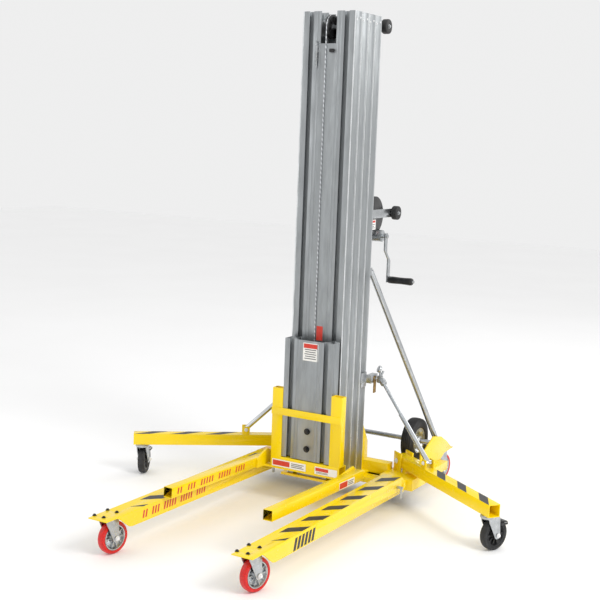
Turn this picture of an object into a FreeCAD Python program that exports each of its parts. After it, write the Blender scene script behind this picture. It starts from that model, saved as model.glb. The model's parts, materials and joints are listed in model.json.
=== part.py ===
import FreeCAD, Part
import os
import re
import Sketcher

# A mobile mast lift for raising plasterboard, ducts and beams to a ceiling.
# Heights are above the floor.  Places along the lift are first given from the
# front caster centres (station 0, growing to the rear) and every sub-part's
# Placement then moves them so that the origin lies under the middle of the lift.

doc = FreeCAD.newDocument("MastLift")
sheet = doc.addObject("Spreadsheet::Sheet", "Sizes")

SIZES = [
    # mast
    ("mast_half", 122.8, "half the width of a mast section"),
    ("mast_bottom", 119.5, "underside of the lowered mast sections"),
    ("mast_top", 2089.5, "top of the lowered mast sections"),
    ("mast_front", 993.0, "front face of the foremost full-length section"),
    ("stage_pitch", 60.5, "distance from one section's front to the next"),
    ("skin", 3.0, "wall of the mast extrusions"),
    ("groove_near", 67.0, "inner side of a runner groove"),
    ("groove_far", 98.0, "outer side of a runner groove"),
    ("groove_deep", 22.0, "depth of a runner groove"),
    ("groove_lip", 5.0, "lip that holds the runner in its groove"),
    ("side_deep", 55.0, "depth of a section's side wall"),
    ("side_bead", 1.2, "height of the beads along a side wall"),
    ("bead_wide", 7.0, "width of the beads along a side wall"),
    ("back_lip", 24.0, "return lip at the back of a side wall"),
    ("rib_high", 1.5, "height of the ribs on the front panel"),
    ("rib_wide", 3.0, "width of the ribs on the front panel"),
    ("stem_wide", 5.0, "web that carries a runner"),
    ("head_wide", 18.0, "width of a runner's head"),
    ("head_thick", 6.0, "thickness of a runner's head"),
    ("head_gap", 3.0, "gap between a groove's lip and the runner's head"),
    ("pad_gap", 0.6, "clearance round a slide pad"),
    ("pad_tall", 80.0, "height of a slide pad"),
    ("pad_low", 20.0, "lower pad above the section's end"),
    ("pad_high", 620.0, "upper pad above the section's end"),
    ("window_half", 36.0, "half width of the window for the sheave"),
    ("window_sill", 1959.0, "lower edge of the window for the sheave"),
    # carriage
    ("carriage_half", 117.4, "half the width of the carriage extrusion"),
    ("carriage_front", 929.0, "front face of the carriage"),
    ("carriage_bottom", 208.0, "underside of the carriage extrusion"),
    ("carriage_top", 726.7, "top of the carriage extrusion"),
    ("anchor_down", 60.0, "lift cable's anchor below the carriage's top"),
    ("post_near", 118.0, "inner side of a carriage upright"),
    ("post_wide", 51.0, "width of a carriage upright"),
    ("post_deep", 38.0, "depth of a carriage upright"),
    ("post_top", 505.0, "top of the carriage uprights"),
    ("tube_wall", 3.0, "wall of the steel tubes"),
    ("strap_low", 390.0, "lower edge of the strap across the uprights"),
    ("strap_high", 421.0, "upper edge of the strap across the uprights"),
    ("strap_thick", 6.0, "thickness of the strap across the uprights"),
    ("sill_low", 150.0, "underside of the carriage's cross tube"),
    ("sill_high", 204.0, "top of the carriage's cross tube"),
    ("sill_deep", 59.0, "depth of the carriage's cross tube"),
    ("sill_half", 168.0, "half the length of the carriage's cross tube"),
    ("fork_gap", 5.3, "clearance between the left fork and the left leg"),
    ("fork_wide", 41.0, "width of a fork"),
    ("fork_tall", 42.0, "height of a fork"),
    ("fork_tip", 264.0, "station of the fork tips"),
    ("fork_heel", 1003.0, "station of the fork heels"),
    ("fork_heel_low", 150.0, "underside of a fork at its heel"),
    ("fork_rise", 1.6, "upward tilt of the forks in degrees"),
    ("cheek_thick", 8.0, "plate that joins a fork to the carriage"),
    ("cheek_tall", 56.0, "height of the plates that join the forks to the carriage"),
    ("cheek_hump", 18.0, "rise of the left fork's plate over its heel"),
    # cable and sheaves
    ("sheave_back", 44.0, "sheave axis behind its section's front face"),
    ("sheave_drop", 60.5, "sheave axis below the mast top"),
    ("sheave_side", 9.0, "sheave's middle to one side of the mast's middle"),
    ("sheave_wide", 14.0, "width of a sheave"),
    ("sheave_rim", 50.0, "outer radius of a sheave"),
    ("sheave_core", 45.5, "radius of the bottom of a sheave's groove"),
    ("sheave_cheek", 3.0, "width of a sheave's flange"),
    ("sheave_pin", 8.0, "radius of a sheave's pin"),
    ("running_gap", 0.05, "radial clearance of a shaft in its bore"),
    ("face_gap", 0.5, "clearance between faces that turn past each other"),
    ("cable_rad", 2.5, "radius of the lift cable"),
    ("cable_pitch", 48.0, "radius at which the cable bends round a sheave"),
    ("anchor_tall", 24.0, "height of a cable anchor"),
    # front legs
    ("leg_track", 315.3, "front caster centres from the middle"),
    ("leg_left_of", 24.0, "leg's left side from the caster centre"),
    ("leg_wide", 86.0, "width of a front leg"),
    ("leg_top", 160.6, "top of the front legs"),
    ("leg_skin", 4.0, "sheet of the front legs"),
    ("leg_nose", -70.0, "station of the front end of a leg"),
    ("leg_plate_back", 1108.0, "rear edge of a leg's top sheet"),
    ("leg_hem_front", 103.0, "lower edge of a leg's side at its front"),
    ("leg_hem_back", 91.0, "lower edge of a leg's side at its rear"),
    ("leg_inner_start", 110.0, "station where a leg's left side begins"),
    ("hinge_station", 1125.0, "station of the leg hinge"),
    ("hinge_high", 118.0, "height of the leg hinge"),
    ("hinge_pin", 9.0, "radius of the leg hinge pin"),
    ("ear_rad", 27.0, "radius of the ears round a hinge pin"),
    ("lock_station", 1062.0, "station of a leg's spring pin"),
    ("lock_high", 128.0, "height of a leg's spring pin"),
    ("lock_rad", 6.0, "radius of a leg's spring pin"),
    # base
    ("stub_gap", 4.5, "clearance between a leg's side and the stub inside it"),
    ("stub_front", 1050.0, "front end of the stub inside a leg"),
    ("base_low", 92.0, "underside of the base boxes"),
    ("base_high", 132.0, "top of the base boxes"),
    ("box_front", 1172.0, "front face of the side boxes"),
    ("box_back", 1345.0, "rear face of the side boxes"),
    ("box_near", 240.0, "inner side of the side boxes"),
    ("box_far", 396.0, "outer side of the side boxes"),
    ("cross_behind", 20.5, "front face of the rear cross tube behind the mast"),
    ("seat_half", 150.0, "half width of the seat under the mast"),
    ("shelf_reach", 58.0, "half the length of the shelf over a rear caster"),
    ("cross_deep", 51.0, "depth of the rear cross tube"),
    ("cross_top", 160.0, "top of the rear cross tube"),
    ("seat_thick", 12.0, "plate under the mast"),
    ("seat_gap", 1.0, "drop of the seat under the moving sections"),
    ("box_skin", 4.0, "wall of the base boxes"),
    ("rail_near", 358.0, "inner side of a rear rail"),
    ("rail_back", 1560.0, "rear end of a rear rail"),
    ("side_plate_x", 352.0, "inner face of a rear side plate"),
    ("side_plate_thick", 6.0, "thickness of a rear side plate"),
    ("rear_track", 308.0, "rear caster centres from the middle"),
    ("rear_station", 1650.0, "station of the rear casters"),
    ("shelf_half", 50.0, "half width of a rear caster shelf"),
    ("support_top", 325.0, "top of the mast's rear support"),
    ("support_behind", 60.5, "rear edge of the mast's rear support behind the mast"),
    # outriggers
    ("outrig_x", 268.1, "inner end of an outrigger from the middle"),
    ("outrig_station", 1322.6, "inner end of an outrigger"),
    ("outrig_swing", 36.28, "outriggers point this many degrees forward"),
    ("outrig_long", 757.0, "length of an outrigger"),
    ("outrig_tube", 51.0, "side of the outrigger's square tube"),
    ("outrig_low", 148.0, "underside of the outriggers"),
    ("outrig_pivot", 25.0, "fold pin from the outrigger's inner end"),
    ("fold_pin", 8.0, "radius of the outrigger's fold pin"),
    ("outrig_ear", 6.0, "thickness of an outrigger's ears"),
    ("outrig_ear_top", 212.0, "top of an outrigger's ears"),
    ("outrig_caster", 40.0, "black caster's centre from the outer end"),
    ("brace_foot", 240.5, "brace pin from the outrigger's inner end"),
    ("brace_foot_high", 222.0, "height of the brace's lower pin"),
    ("brace_head_x", 165.3, "brace's upper end from the middle"),
    ("brace_head_behind", 60.9, "brace's upper end behind the mast"),
    ("brace_pin", 5.0, "radius of the pin at a brace's foot"),
    ("lever_head_rad", 12.0, "radius of the head of a clamp's lever"),
    ("brace_head_high", 531.3, "height of the brace's upper end"),
    ("brace_tube", 11.0, "radius of the brace's lower tube"),
    ("brace_rod", 8.0, "radius of the brace's upper rod"),
    ("brace_split", 250.0, "length of the brace's lower tube"),
    ("clamp_pin", 6.0, "radius of a release lever's pin"),
    # stays
    ("stay_foot_station", 1540.0, "lower end of a rear stay"),
    ("stay_foot_high", 224.0, "height of a rear stay's lower end"),
    ("stay_foot_x", 343.0, "rear stay's lower end from the middle"),
    ("stay_head_x", 112.0, "rear stay's upper end from the middle"),
    ("stay_head_behind", 22.5, "upper end of a rear stay behind the mast"),
    ("stay_head_high", 1008.0, "height of a rear stay's upper end"),
    ("stay_rad", 12.7, "radius of a rear stay"),
    # casters
    ("wheel_rad", 63.5, "radius of a caster wheel"),
    ("wheel_wide", 32.0, "width of a caster tyre"),
    ("tyre_thick", 15.5, "thickness of a caster's tyre"),
    ("caster_bolt_rad", 4.2, "radius of the holes for a caster's bolts"),
    ("caster_bolt_across", 22.2, "caster bolts either side of the middle, across"),
    ("caster_bolt_along", 37.4, "caster bolts either side of the middle, along"),
    ("axle_nut_rad", 8.5, "radius of the nuts on a caster's axle"),
    ("hub_wide", 36.0, "width of a caster's hub"),
    ("boss_rad", 17.0, "radius of a caster's hub boss"),
    ("web_thick", 10.0, "thickness of a caster's wheel disc"),
    ("axle_rad", 5.0, "radius of a caster's axle bolt"),
    ("trail", 35.0, "caster axle behind its swivel"),
    ("arm_thick", 3.5, "thickness of a caster fork's arms"),
    ("arm_gap", 2.0, "gap between a hub and the fork's arms"),
    ("crown_drop", 14.0, "fork's crown below its mounting face"),
    ("race_rad", 29.0, "radius of a caster's swivel race"),
    ("swivel_gap", 0.4, "gap between a swivel race and its plate"),
    ("left_front_swivel", -10.0, "angle at which the left front caster stands"),
    ("right_front_swivel", -14.0, "angle at which the right front caster stands"),
    ("left_rear_swivel", 0.0, "angle at which the left rear caster stands"),
    ("right_rear_swivel", -8.0, "angle at which the right rear caster stands"),
    ("left_outrigger_swivel", 23.0, "angle at which the left outrigger's caster stands"),
    ("right_outrigger_swivel", -23.0, "angle at which the right outrigger's caster stands"),
    # transport wheels
    ("roll_rad", 101.6, "radius of a transport wheel"),
    ("roll_wide", 57.0, "width of a transport wheel"),
    ("roll_rim", 54.0, "radius of a transport wheel's rim"),
    ("roll_x", 271.0, "middle of a transport wheel from the middle"),
    ("roll_station", 1457.0, "station of the transport axle"),
    ("roll_high", 232.0, "height of the transport axle"),
    ("roll_axle", 11.0, "radius of the transport axle"),
    # winch
    ("drum_core", 47.0, "radius of the drum under its cable"),
    ("cover_boss_rad", 14.0, "radius of the cover's middle boss"),
    ("crank_boss_rad", 26.0, "radius of the crank shaft's bearing boss"),
    ("crank_boss_long", 52.0, "length of the crank shaft's bearing boss"),
    ("crank_clear", 30.0, "radius of the cover's cut-out for the crank shaft"),
    ("drum_high", 1245.0, "height of the winch drum"),
    ("drum_flange", 62.0, "radius of the drum's flanges"),
    ("drum_half", 44.0, "half the length of the drum"),
    ("drum_axle", 9.0, "radius of the drum's axle"),
    ("gear_rad", 78.0, "radius of the drum gear"),
    ("gear_near", 46.0, "inner face of the drum gear"),
    ("gear_thick", 9.0, "thickness of the drum gear"),
    ("cover_rad", 84.0, "radius of the winch cover"),
    ("cover_near", 64.5, "inner side of the winch cover"),
    ("cover_far", 88.0, "outer side of the winch cover"),
    ("frame_near", 58.0, "inner face of a winch side plate"),
    ("frame_thick", 4.0, "thickness of a winch side plate"),
    ("crank_behind", 35.0, "crank shaft behind the drum's axle"),
    ("crank_high", 1155.0, "height of the crank shaft"),
    ("crank_shaft", 9.0, "radius of the crank shaft"),
    ("crank_x", 128.0, "inner face of the crank arm"),
    ("crank_thick", 6.0, "thickness of the crank arm"),
    ("crank_wide", 24.0, "width of the crank arm"),
    ("crank_drop", 196.0, "length of the crank"),
    ("crank_set", 38.0, "set-back of the crank's lower half"),
    ("grip_long", 118.0, "length of the crank's grip"),
    ("grip_rad", 16.5, "radius of the crank's grip"),
    ("grip_pin", 6.0, "radius of the pin inside the grip"),
    # loading rollers
    ("roller_rad", 31.0, "radius of a loading roller"),
    ("roller_wide", 26.0, "width of a loading roller"),
    ("roller_pin", 6.0, "radius of a loading roller's axle"),
    ("low_roller_x", 96.0, "inner face of a lower loading roller"),
    ("low_roller_behind", 257.5, "lower loading rollers behind the mast"),
    ("low_roller_high", 1252.0, "height of the lower loading rollers"),
    ("top_roller_x", 104.0, "inner face of an upper loading roller"),
    ("top_roller_behind", 57.5, "upper loading rollers behind the mast"),
    ("top_roller_high", 2054.0, "height of the upper loading rollers"),
    ("bracket_thick", 4.0, "thickness of the roller brackets"),
]

for row, (alias, value, note) in enumerate(SIZES, 1):
    sheet.set("A%d" % row, note)
    sheet.set("B%d" % row, str(value))
    sheet.setAlias("B%d" % row, alias)
doc.recompute()
ALIASES = {alias for alias, _, _ in SIZES}

# Places worked out from the sizes, kept as bound properties of one object.
places = doc.addObject("App::FeaturePython", "Places")


def bound(text):
    """Turn size and place names in an expression into references."""
    def link(match):
        word = match.group(0)
        if word in ALIASES:
            return "Sizes." + word
        if word in places.PropertiesList:
            return "Places." + word
        return word
    return re.sub(r"[A-Za-z_][A-Za-z_0-9]*", link, str(text))


def derive(name, text):
    places.addProperty("App::PropertyFloat", name, "Places")
    places.setExpression(name, bound(text))


derive("middle", "(rear_station + trail + wheel_rad + leg_nose) / 2")
derive("mast_back", "mast_front + 3 * stage_pitch + side_deep")
derive("leg_under", "leg_top - leg_skin")
derive("fork_near", "leg_track + leg_left_of - leg_wide - fork_gap - fork_wide")
derive("stub_half", "leg_wide / 2 - leg_skin - stub_gap")
derive("groove_mid", "(groove_near + groove_far) / 2")
derive("sheave_high", "mast_top - sheave_drop")
derive("gear_gap", "hypot(crank_behind; drum_high - crank_high)")
derive("drum_station",
       "mast_front + 3 * stage_pitch + sheave_back + cable_pitch + cable_rad + drum_core")
doc.recompute()
derive("crank_station", "drum_station + crank_behind")
derive("top_roller_station", "mast_back + top_roller_behind")
derive("low_roller_station", "mast_back + low_roller_behind")
derive("stay_head_station", "mast_back + stay_head_behind")
derive("brace_head_station", "mast_back + brace_head_behind")
derive("support_back", "mast_back + support_behind")
derive("cross_front", "mast_back + cross_behind")
derive("pinion_rad", "gear_gap - gear_rad - face_gap")
derive("outrig_mid", "outrig_low + outrig_tube / 2")
doc.recompute()


def place(item, at=("0", "0", "0"), axis=("0", "0", "1"), turn="0"):
    item.setExpression("Placement", (
        "create(<<placement>>; create(<<vector>>; %s; %s; %s); "
        "create(<<rotation>>; create(<<vector>>; %s; %s; %s); %s))"
        % tuple(bound(word) for word in (*at, *axis, turn))))
    return item


def flip(low, high, side):
    """A span across the lift, mirrored for the left side."""
    if side > 0:
        return low, high
    return "-(%s)" % high, "-(%s)" % low


def block(x, y, z, side=1):
    """A box between two corners, each span given as (low, high)."""
    item = doc.addObject("Part::Box", "Block")
    spans = (flip(*x, side), y, z)
    for edge, (low, high) in zip(("Length", "Width", "Height"), spans):
        item.setExpression(edge, bound("(%s) - (%s)" % (high, low)))
    return place(item, tuple("(%s)" % low for low, _ in spans))


TURN_TO = {"x": (("0", "1", "0"), "90"), "y": (("1", "0", "0"), "-90"), "z": (("0", "0", "1"), "0")}


def rod(radius, at, length, along="x", side=1):
    """A round bar from a point along one axis; mirrored bars start at their far end."""
    item = doc.addObject("Part::Cylinder", "Rod")
    item.setExpression("Radius", bound(radius))
    item.setExpression("Height", bound(length))
    x, y, z = at
    if side < 0:
        x = "-(%s)" % x
        if along == "x":
            x = "%s - (%s)" % (x, length)
    axis, turn = TURN_TO[along]
    return place(item, ("(%s)" % x, y, z), axis, turn)


def strut(radius, start, end, length=None):
    """A round bar from one point towards another."""
    item = doc.addObject("Part::Cylinder", "Strut")
    dx, dy, dz = ["((%s) - (%s))" % (b, a) for a, b in zip(start, end)]
    flat = "hypot(%s; %s)" % (dx, dy)
    item.setExpression("Radius", bound(radius))
    item.setExpression("Height", bound(length or "hypot(%s; %s)" % (flat, dz)))
    return place(item, start, ("-" + dy, dx, "0"), "atan2(%s; %s)" % (flat, dz))


def plate(plane, outline, start, thick, side=1):
    """A plate padded from a closed outline in a plane across the given axis."""
    body = doc.addObject("PartDesign::Body", "Plate")
    sketch = body.newObject("Sketcher::SketchObject", "Outline")
    role = {"x": "YZ_Plane", "z": "XY_Plane"}[plane]
    face = [item for item in body.Origin.OriginFeatures if item.Role == role][0]
    sketch.AttachmentSupport = [(face, "")]
    sketch.MapMode = "FlatFace"
    corners = [(places_value(a), places_value(b)) for a, b in outline]
    count = len(outline)
    for index, corner in enumerate(corners):
        after = corners[(index + 1) % count]
        line = Part.LineSegment(FreeCAD.Vector(*corner, 0), FreeCAD.Vector(*after, 0))
        sketch.addGeometry(line)
    for index in range(count):
        sketch.addConstraint(Sketcher.Constraint("Coincident", index, 2, (index + 1) % count, 1))
    for index, (across, up) in enumerate(outline):
        for kind, text, value in (("DistanceX", across, corners[index][0]),
                                  ("DistanceY", up, corners[index][1])):
            number = sketch.addConstraint(Sketcher.Constraint(kind, -1, 1, index, 1, value))
            sketch.setExpression("Constraints[%d]" % number, bound(text))
    pad = body.newObject("PartDesign::Pad", "Pad")
    pad.Profile = sketch
    pad.setExpression("Length", bound(thick))
    low = flip(start, "%s + %s" % (start, thick), side)[0] if plane == "x" else start
    at = ("(%s)" % low, "0", "0") if plane == "x" else ("0", "0", "(%s)" % low)
    return place(body, at)


probe = doc.addObject("App::FeaturePython", "Probe")
probe.addProperty("App::PropertyFloat", "Value", "Probe")


def places_value(text):
    """The present value of an expression, for a sketch's starting shape."""
    probe.setExpression("Value", bound(text))
    probe.recompute()
    return probe.Value


def fuse(*items):
    whole = doc.addObject("Part::MultiFuse", "Whole")
    whole.Shapes = list(items)
    whole.Refine = True
    return whole


def cut(base, *tools):
    result = base
    for tool in tools:
        step = doc.addObject("Part::Cut", "Cutout")
        step.Base = result
        step.Tool = tool
        result = step
    return result


def group(*items):
    """Separate solids that share one node."""
    bundle = doc.addObject("Part::Compound", "Bundle")
    bundle.Links = list(items)
    return bundle


SUBPARTS = []


def finish(label, item, at=("0", "0", "0"), axis=("0", "0", "1"), turn="0"):
    """Name a sub-part and put it in the lift's own frame."""
    item.Label = label
    x, y, z = at
    place(item, (x, "(%s) - middle" % y, z), axis, turn)
    SUBPARTS.append(item)
    return item


SIDES = (("left", -1), ("right", 1))


# ---------------------------------------------------------------- mast

def extrusion(half, front, bottom, top, runner, window):
    """One mast section: front panel, two open grooves, side walls and rear runners."""
    tall = (bottom, top)
    panel_back = "%s + skin" % front
    walls = [block(("-groove_near", "groove_near"), (front, panel_back), tall)]
    if window:
        hole = block(("-window_half", "window_half"), (front + " - 5", front + " + 8"),
                     ("window_sill", top + " + 1"))
        walls = [cut(walls[0], hole)]
    floor = "%s + groove_deep" % front
    runner_back = "%s + stage_pitch + skin + head_gap" % front
    for _, side in SIDES:
        spans = [
            (("groove_near - skin", "groove_near"), (front, floor + " + skin")),
            (("groove_far", "groove_far + skin"), (front, floor + " + skin")),
            (("groove_near - skin", "groove_far + skin"), (floor, floor + " + skin")),
            (("groove_near - skin", "groove_near + groove_lip"), (front, panel_back)),
            (("groove_far - groove_lip", half), (front, panel_back)),
            ((half + " - skin - side_bead", half + " - side_bead"), (front, front + " + side_deep")),
            ((half + " - skin", half), (front, front + " + bead_wide")),
            ((half + " - skin", half),
             (front + " + side_deep - bead_wide", front + " + side_deep")),
            ((half + " - back_lip", half), (front + " + side_deep - skin", front + " + side_deep")),
        ]
        for start in ("window_half + 5", "groove_near - 12"):
            spans.append(((start, start + " + rib_wide"), (front + " - rib_high", front + " + 1")))
        if runner:
            spans.append((("groove_mid - stem_wide / 2", "groove_mid + stem_wide / 2"),
                          (floor, runner_back + " + 1")))
            spans.append((("groove_mid - head_wide / 2", "groove_mid + head_wide / 2"),
                          (runner_back, runner_back + " + head_thick")))
        walls += [block(x, y, tall, side) for x, y in spans]
    return walls


def sheave_mount(front, middle, anchor):
    """The pin and two cheeks that carry a sheave, and the anchor for the next cable."""
    axis = "%s + sheave_back" % front
    pin = rod("sheave_pin", ("-window_half - 4", axis, "sheave_high"), "2 * window_half + 8")
    items = [pin]
    for _, side in SIDES:
        items.append(block(("window_half", "window_half + 4"),
                           (front + " + 1", front + " + sheave_back + 12"),
                           ("sheave_high - 40", "sheave_high + 24"), side))
    if anchor:
        items.append(block((anchor + " - 12", anchor + " + 12"),
                           (front + " + 1", front + " + 36"),
                           ("window_sill - 10 - anchor_tall", "window_sill - 10")))
    return items


FRONTS = {4: "mast_front", 3: "mast_front + stage_pitch",
          2: "mast_front + 2 * stage_pitch", 1: "mast_front + 3 * stage_pitch"}
SHEAVE_X = {4: "-sheave_side", 3: "sheave_side", 2: "-sheave_side", 1: "sheave_side"}


def runner_pads(front, bottoms):
    """Plastic slide blocks fixed on a section's runner heads."""
    near = "%s + stage_pitch + skin + pad_gap" % front
    far = "%s + stage_pitch + groove_deep - pad_gap" % front
    head = "%s + stage_pitch + skin + head_gap" % front
    pads = []
    for _, side in SIDES:
        for low in bottoms:
            tall = (low, low + " + pad_tall")
            outer = block(("groove_near + pad_gap", "groove_far - pad_gap"), (near, far), tall, side)
            slot = block(("groove_mid - head_wide / 2", "groove_mid + head_wide / 2"),
                         (head, head + " + head_thick"), (low + " - 1", low + " + pad_tall + 1"), side)
            mouth = block(("groove_mid - stem_wide / 2", "groove_mid + stem_wide / 2"),
                          (near + " - 1", head + " + 1"), (low + " - 1", low + " + pad_tall + 1"), side)
            pads.append(cut(outer, slot, mouth))
    return pads


def build_mast():
    for number in (1, 2, 3, 4):
        front = FRONTS[number]
        walls = extrusion("mast_half", front, "mast_bottom", "mast_top", number > 1, True)
        anchor = SHEAVE_X[number + 1] if number < 4 else None
        walls += sheave_mount(front, SHEAVE_X[number], anchor)
        finish("mast_section_%d" % number, fuse(*walls))
        if number > 1:
            pads = runner_pads(front, ["mast_bottom + pad_low", "mast_bottom + pad_high"])
            finish("slide_pads_%d" % number, group(*pads))
        build_sheave(number, front)


def build_sheave(number, front):
    wide = "sheave_wide"
    left = "%s - sheave_wide / 2" % SHEAVE_X[number]
    at = (left, front + " + sheave_back", "sheave_high")
    far_cheek = ("%s + sheave_wide - sheave_cheek" % left, at[1], at[2])
    disc = fuse(rod("sheave_core", at, wide), rod("sheave_rim", at, "sheave_cheek"),
                rod("sheave_rim", far_cheek, "sheave_cheek"))
    start = ("%s - 1" % left, at[1], at[2])
    finish("sheave_%d" % number, cut(disc, rod("sheave_pin + running_gap", start, wide + " + 2")))


def build_carriage():
    walls = extrusion("carriage_half", "carriage_front", "carriage_bottom", "carriage_top",
                      False, False)
    floor = "carriage_front + groove_deep"
    head = "mast_front + skin + head_gap"
    tall = ("carriage_bottom", "carriage_top")
    for _, side in SIDES:
        walls.append(block(("groove_mid - stem_wide / 2", "groove_mid + stem_wide / 2"),
                           (floor, head + " + 1"), tall, side))
        walls.append(block(("groove_mid - head_wide / 2", "groove_mid + head_wide / 2"),
                           (head, head + " + head_thick"), tall, side))
    walls.append(block(("-sheave_side - 12", "-sheave_side + 12"),
                       ("carriage_front + 1", "mast_front - 1.5"),
                       ("carriage_top - anchor_down - anchor_tall", "carriage_top - anchor_down")))
    finish("carriage_section", fuse(*walls))
    pads = runner_pads("mast_front - stage_pitch",
                       ["carriage_bottom + pad_low", "carriage_top - 20 - pad_tall"])
    finish("carriage_pads", group(*pads))


def build_carriage_frame():
    """Two uprights, a cross tube under them, a strap across and the fork cheeks."""
    front = "carriage_front - rib_high"
    items = []
    sill = block(("-sill_half", "sill_half"), (front, front + " + sill_deep"),
                 ("sill_low", "sill_high"))
    bore = block(("-sill_half - 1", "sill_half + 1"),
                 (front + " + tube_wall", front + " + sill_deep - tube_wall"),
                 ("sill_low + tube_wall", "sill_high - tube_wall"))
    items.append(cut(sill, bore))
    items.append(block(("-post_near - post_wide", "post_near + post_wide"),
                       (front + " - strap_thick", front), ("strap_low", "strap_high")))
    for _, side in SIDES:
        post = block(("post_near", "post_near + post_wide"), (front, front + " + post_deep"),
                     ("sill_high", "post_top"), side)
        hollow = block(("post_near + tube_wall", "post_near + post_wide - tube_wall"),
                       (front + " + tube_wall", front + " + post_deep - tube_wall"),
                       ("sill_high - 1", "post_top + 1"), side)
        items.append(cut(post, hollow))
        items.append(block(("sill_half", "fork_near - face_gap"),
                           (front, front + " + sill_deep"), ("sill_low", "sill_low + 8"), side))
        outline = [("carriage_front - 60", "fork_heel_low + 4"), ("carriage_front", "sill_low"),
                   ("fork_heel", "sill_low"), ("fork_heel", "sill_low + cheek_tall - 12"),
                   ("fork_heel - 18", "sill_low + cheek_tall")]
        if side < 0:
            outline += [("carriage_front + 22", "sill_low + cheek_tall + cheek_hump"),
                        ("carriage_front - 12", "sill_low + cheek_tall + cheek_hump / 2")]
        outline.append(("carriage_front - 60", "fork_heel_low + fork_tall - 2"))
        items.append(plate("x", outline, "fork_near - face_gap - cheek_thick", "cheek_thick", side))
    finish("carriage_frame", fuse(*items))


def build_forks():
    """Square tubes open at both ends, tilted a little up towards their tips."""
    for name, side in SIDES:
        long = "(fork_heel - fork_tip) / cos(fork_rise)"
        low_x = flip("fork_near", "fork_near + fork_wide", side)[0]
        tube = block(("0", "fork_wide"), ("-(%s)" % long, "0"), ("0", "fork_tall"))
        bore = block(("tube_wall", "fork_wide - tube_wall"), ("-(%s) - 1" % long, "1"),
                     ("tube_wall", "fork_tall - tube_wall"))
        finish(name + "_fork", cut(tube, bore), (low_x, "fork_heel", "fork_heel_low"),
               ("-1", "0", "0"), "fork_rise")


# ---------------------------------------------------------------- cables

def cable_path(points, bends):
    """A wire of straight runs and arcs; bends maps a point's index to its arc's middle."""
    edges = []
    for index in range(len(points) - 1):
        start = FreeCAD.Vector(*points[index])
        end = FreeCAD.Vector(*points[index + 1])
        if index in bends:
            edges.append(Part.Arc(start, FreeCAD.Vector(*bends[index]), end).toShape())
        else:
            edges.append(Part.LineSegment(start, end).toShape())
    return Part.Wire(edges)


def round_sweep(path, radius):
    """A round bar swept along a wire."""
    edge = path.Edges[0]
    first = path.Vertexes[0].Point
    circle = Part.Wire([Part.Circle(first, edge.tangentAt(edge.FirstParameter), radius).toShape()])
    return path.makePipeShell([circle], True, False)


def code_part(label, shape):
    """A sub-part whose shape is made by the functions above from the sheet's values."""
    item = doc.addObject("Part::Feature", label)
    item.Shape = shape
    return finish(label, item)


def build_cables():
    """The visible cable over the front sheave, and the winch cable over the rear one."""
    pitch = sheet.cable_pitch
    top = places.sheave_high
    for label, number, front_end, back_end in (
            ("lift_cable", 4, sheet.carriage_top - sheet.anchor_down, sheet.window_sill - 10),
            ("winch_cable", 1, top - 2 * pitch, sheet.drum_high)):
        x = sheet.sheave_side * (-1 if number in (2, 4) else 1)
        axis = sheet.mast_front + (4 - number) * sheet.stage_pitch + sheet.sheave_back
        points = [(x, axis - pitch, front_end), (x, axis - pitch, top),
                  (x, axis + pitch, top), (x, axis + pitch, back_end)]
        path = cable_path(points, {1: (x, axis, top + pitch)})
        code_part(label, round_sweep(path, sheet.cable_rad))
        print(label, "length", round(path.Length, 1), "bend radius", pitch)


# ---------------------------------------------------------------- front legs

def build_front_legs():
    """Downward-open folded channels that hinge up at their rear ends."""
    for name, side in SIDES:
        low = "leg_track * %d - leg_left_of" % side
        high = low + " + leg_wide"
        top = block((low, high), ("leg_nose", "leg_plate_back"), ("leg_under", "leg_top"))
        outer = [("-14", "leg_under + 1"), ("0", "leg_under - 4"), ("18", "141"), ("42", "122"),
                 ("64", "leg_hem_front + 4"), ("80", "leg_hem_front"), ("hinge_station", "leg_hem_back"),
                 ("hinge_station + 19", "hinge_high - 19"), ("hinge_station + ear_rad", "hinge_high"),
                 ("hinge_station + 19", "hinge_high + 19"), ("hinge_station", "hinge_high + ear_rad"),
                 ("leg_plate_back", "leg_under + 1")]
        inner = [("leg_inner_start", "leg_under + 1"),
                 ("leg_inner_start + 24", "leg_hem_front")] + outer[6:]
        walls = [plate("x", outer, high + " - leg_skin", "leg_skin"),
                 plate("x", inner, low, "leg_skin")]
        hole = rod("hinge_pin + running_gap", (low + " - 1", "hinge_station", "hinge_high"),
                   "leg_wide + 2")
        lock = rod("lock_rad + running_gap", (high + " - leg_skin - 1", "lock_station", "lock_high"),
                   "leg_skin + 2")
        bolts = [rod("caster_bolt_rad",
                     ("leg_track * %d + %d * caster_bolt_across" % (side, dx),
                      "%d * caster_bolt_along" % dy, "leg_under - 1"),
                     "leg_skin + 2", "z") for dx in (-1, 1) for dy in (-1, 1)]
        finish(name + "_front_leg", cut(fuse(top, *walls), hole, lock, *bolts))
        handle_x = high + " + face_gap"
        pin = rod("lock_rad", (high + " - leg_skin - 4", "lock_station", "lock_high"),
                  "leg_skin + 4 + face_gap + 14")
        shank = rod("lock_rad - 1.5", (handle_x + " + 10", "lock_station", "lock_high"), "16")
        arm = block((handle_x + " + 14", handle_x + " + 22"), ("lock_station - 4", "lock_station + 6"),
                    ("lock_high - 46", "lock_high + 4"))
        finish(name + "_leg_pin", fuse(pin, shank, arm))


# ---------------------------------------------------------------- base

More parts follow.
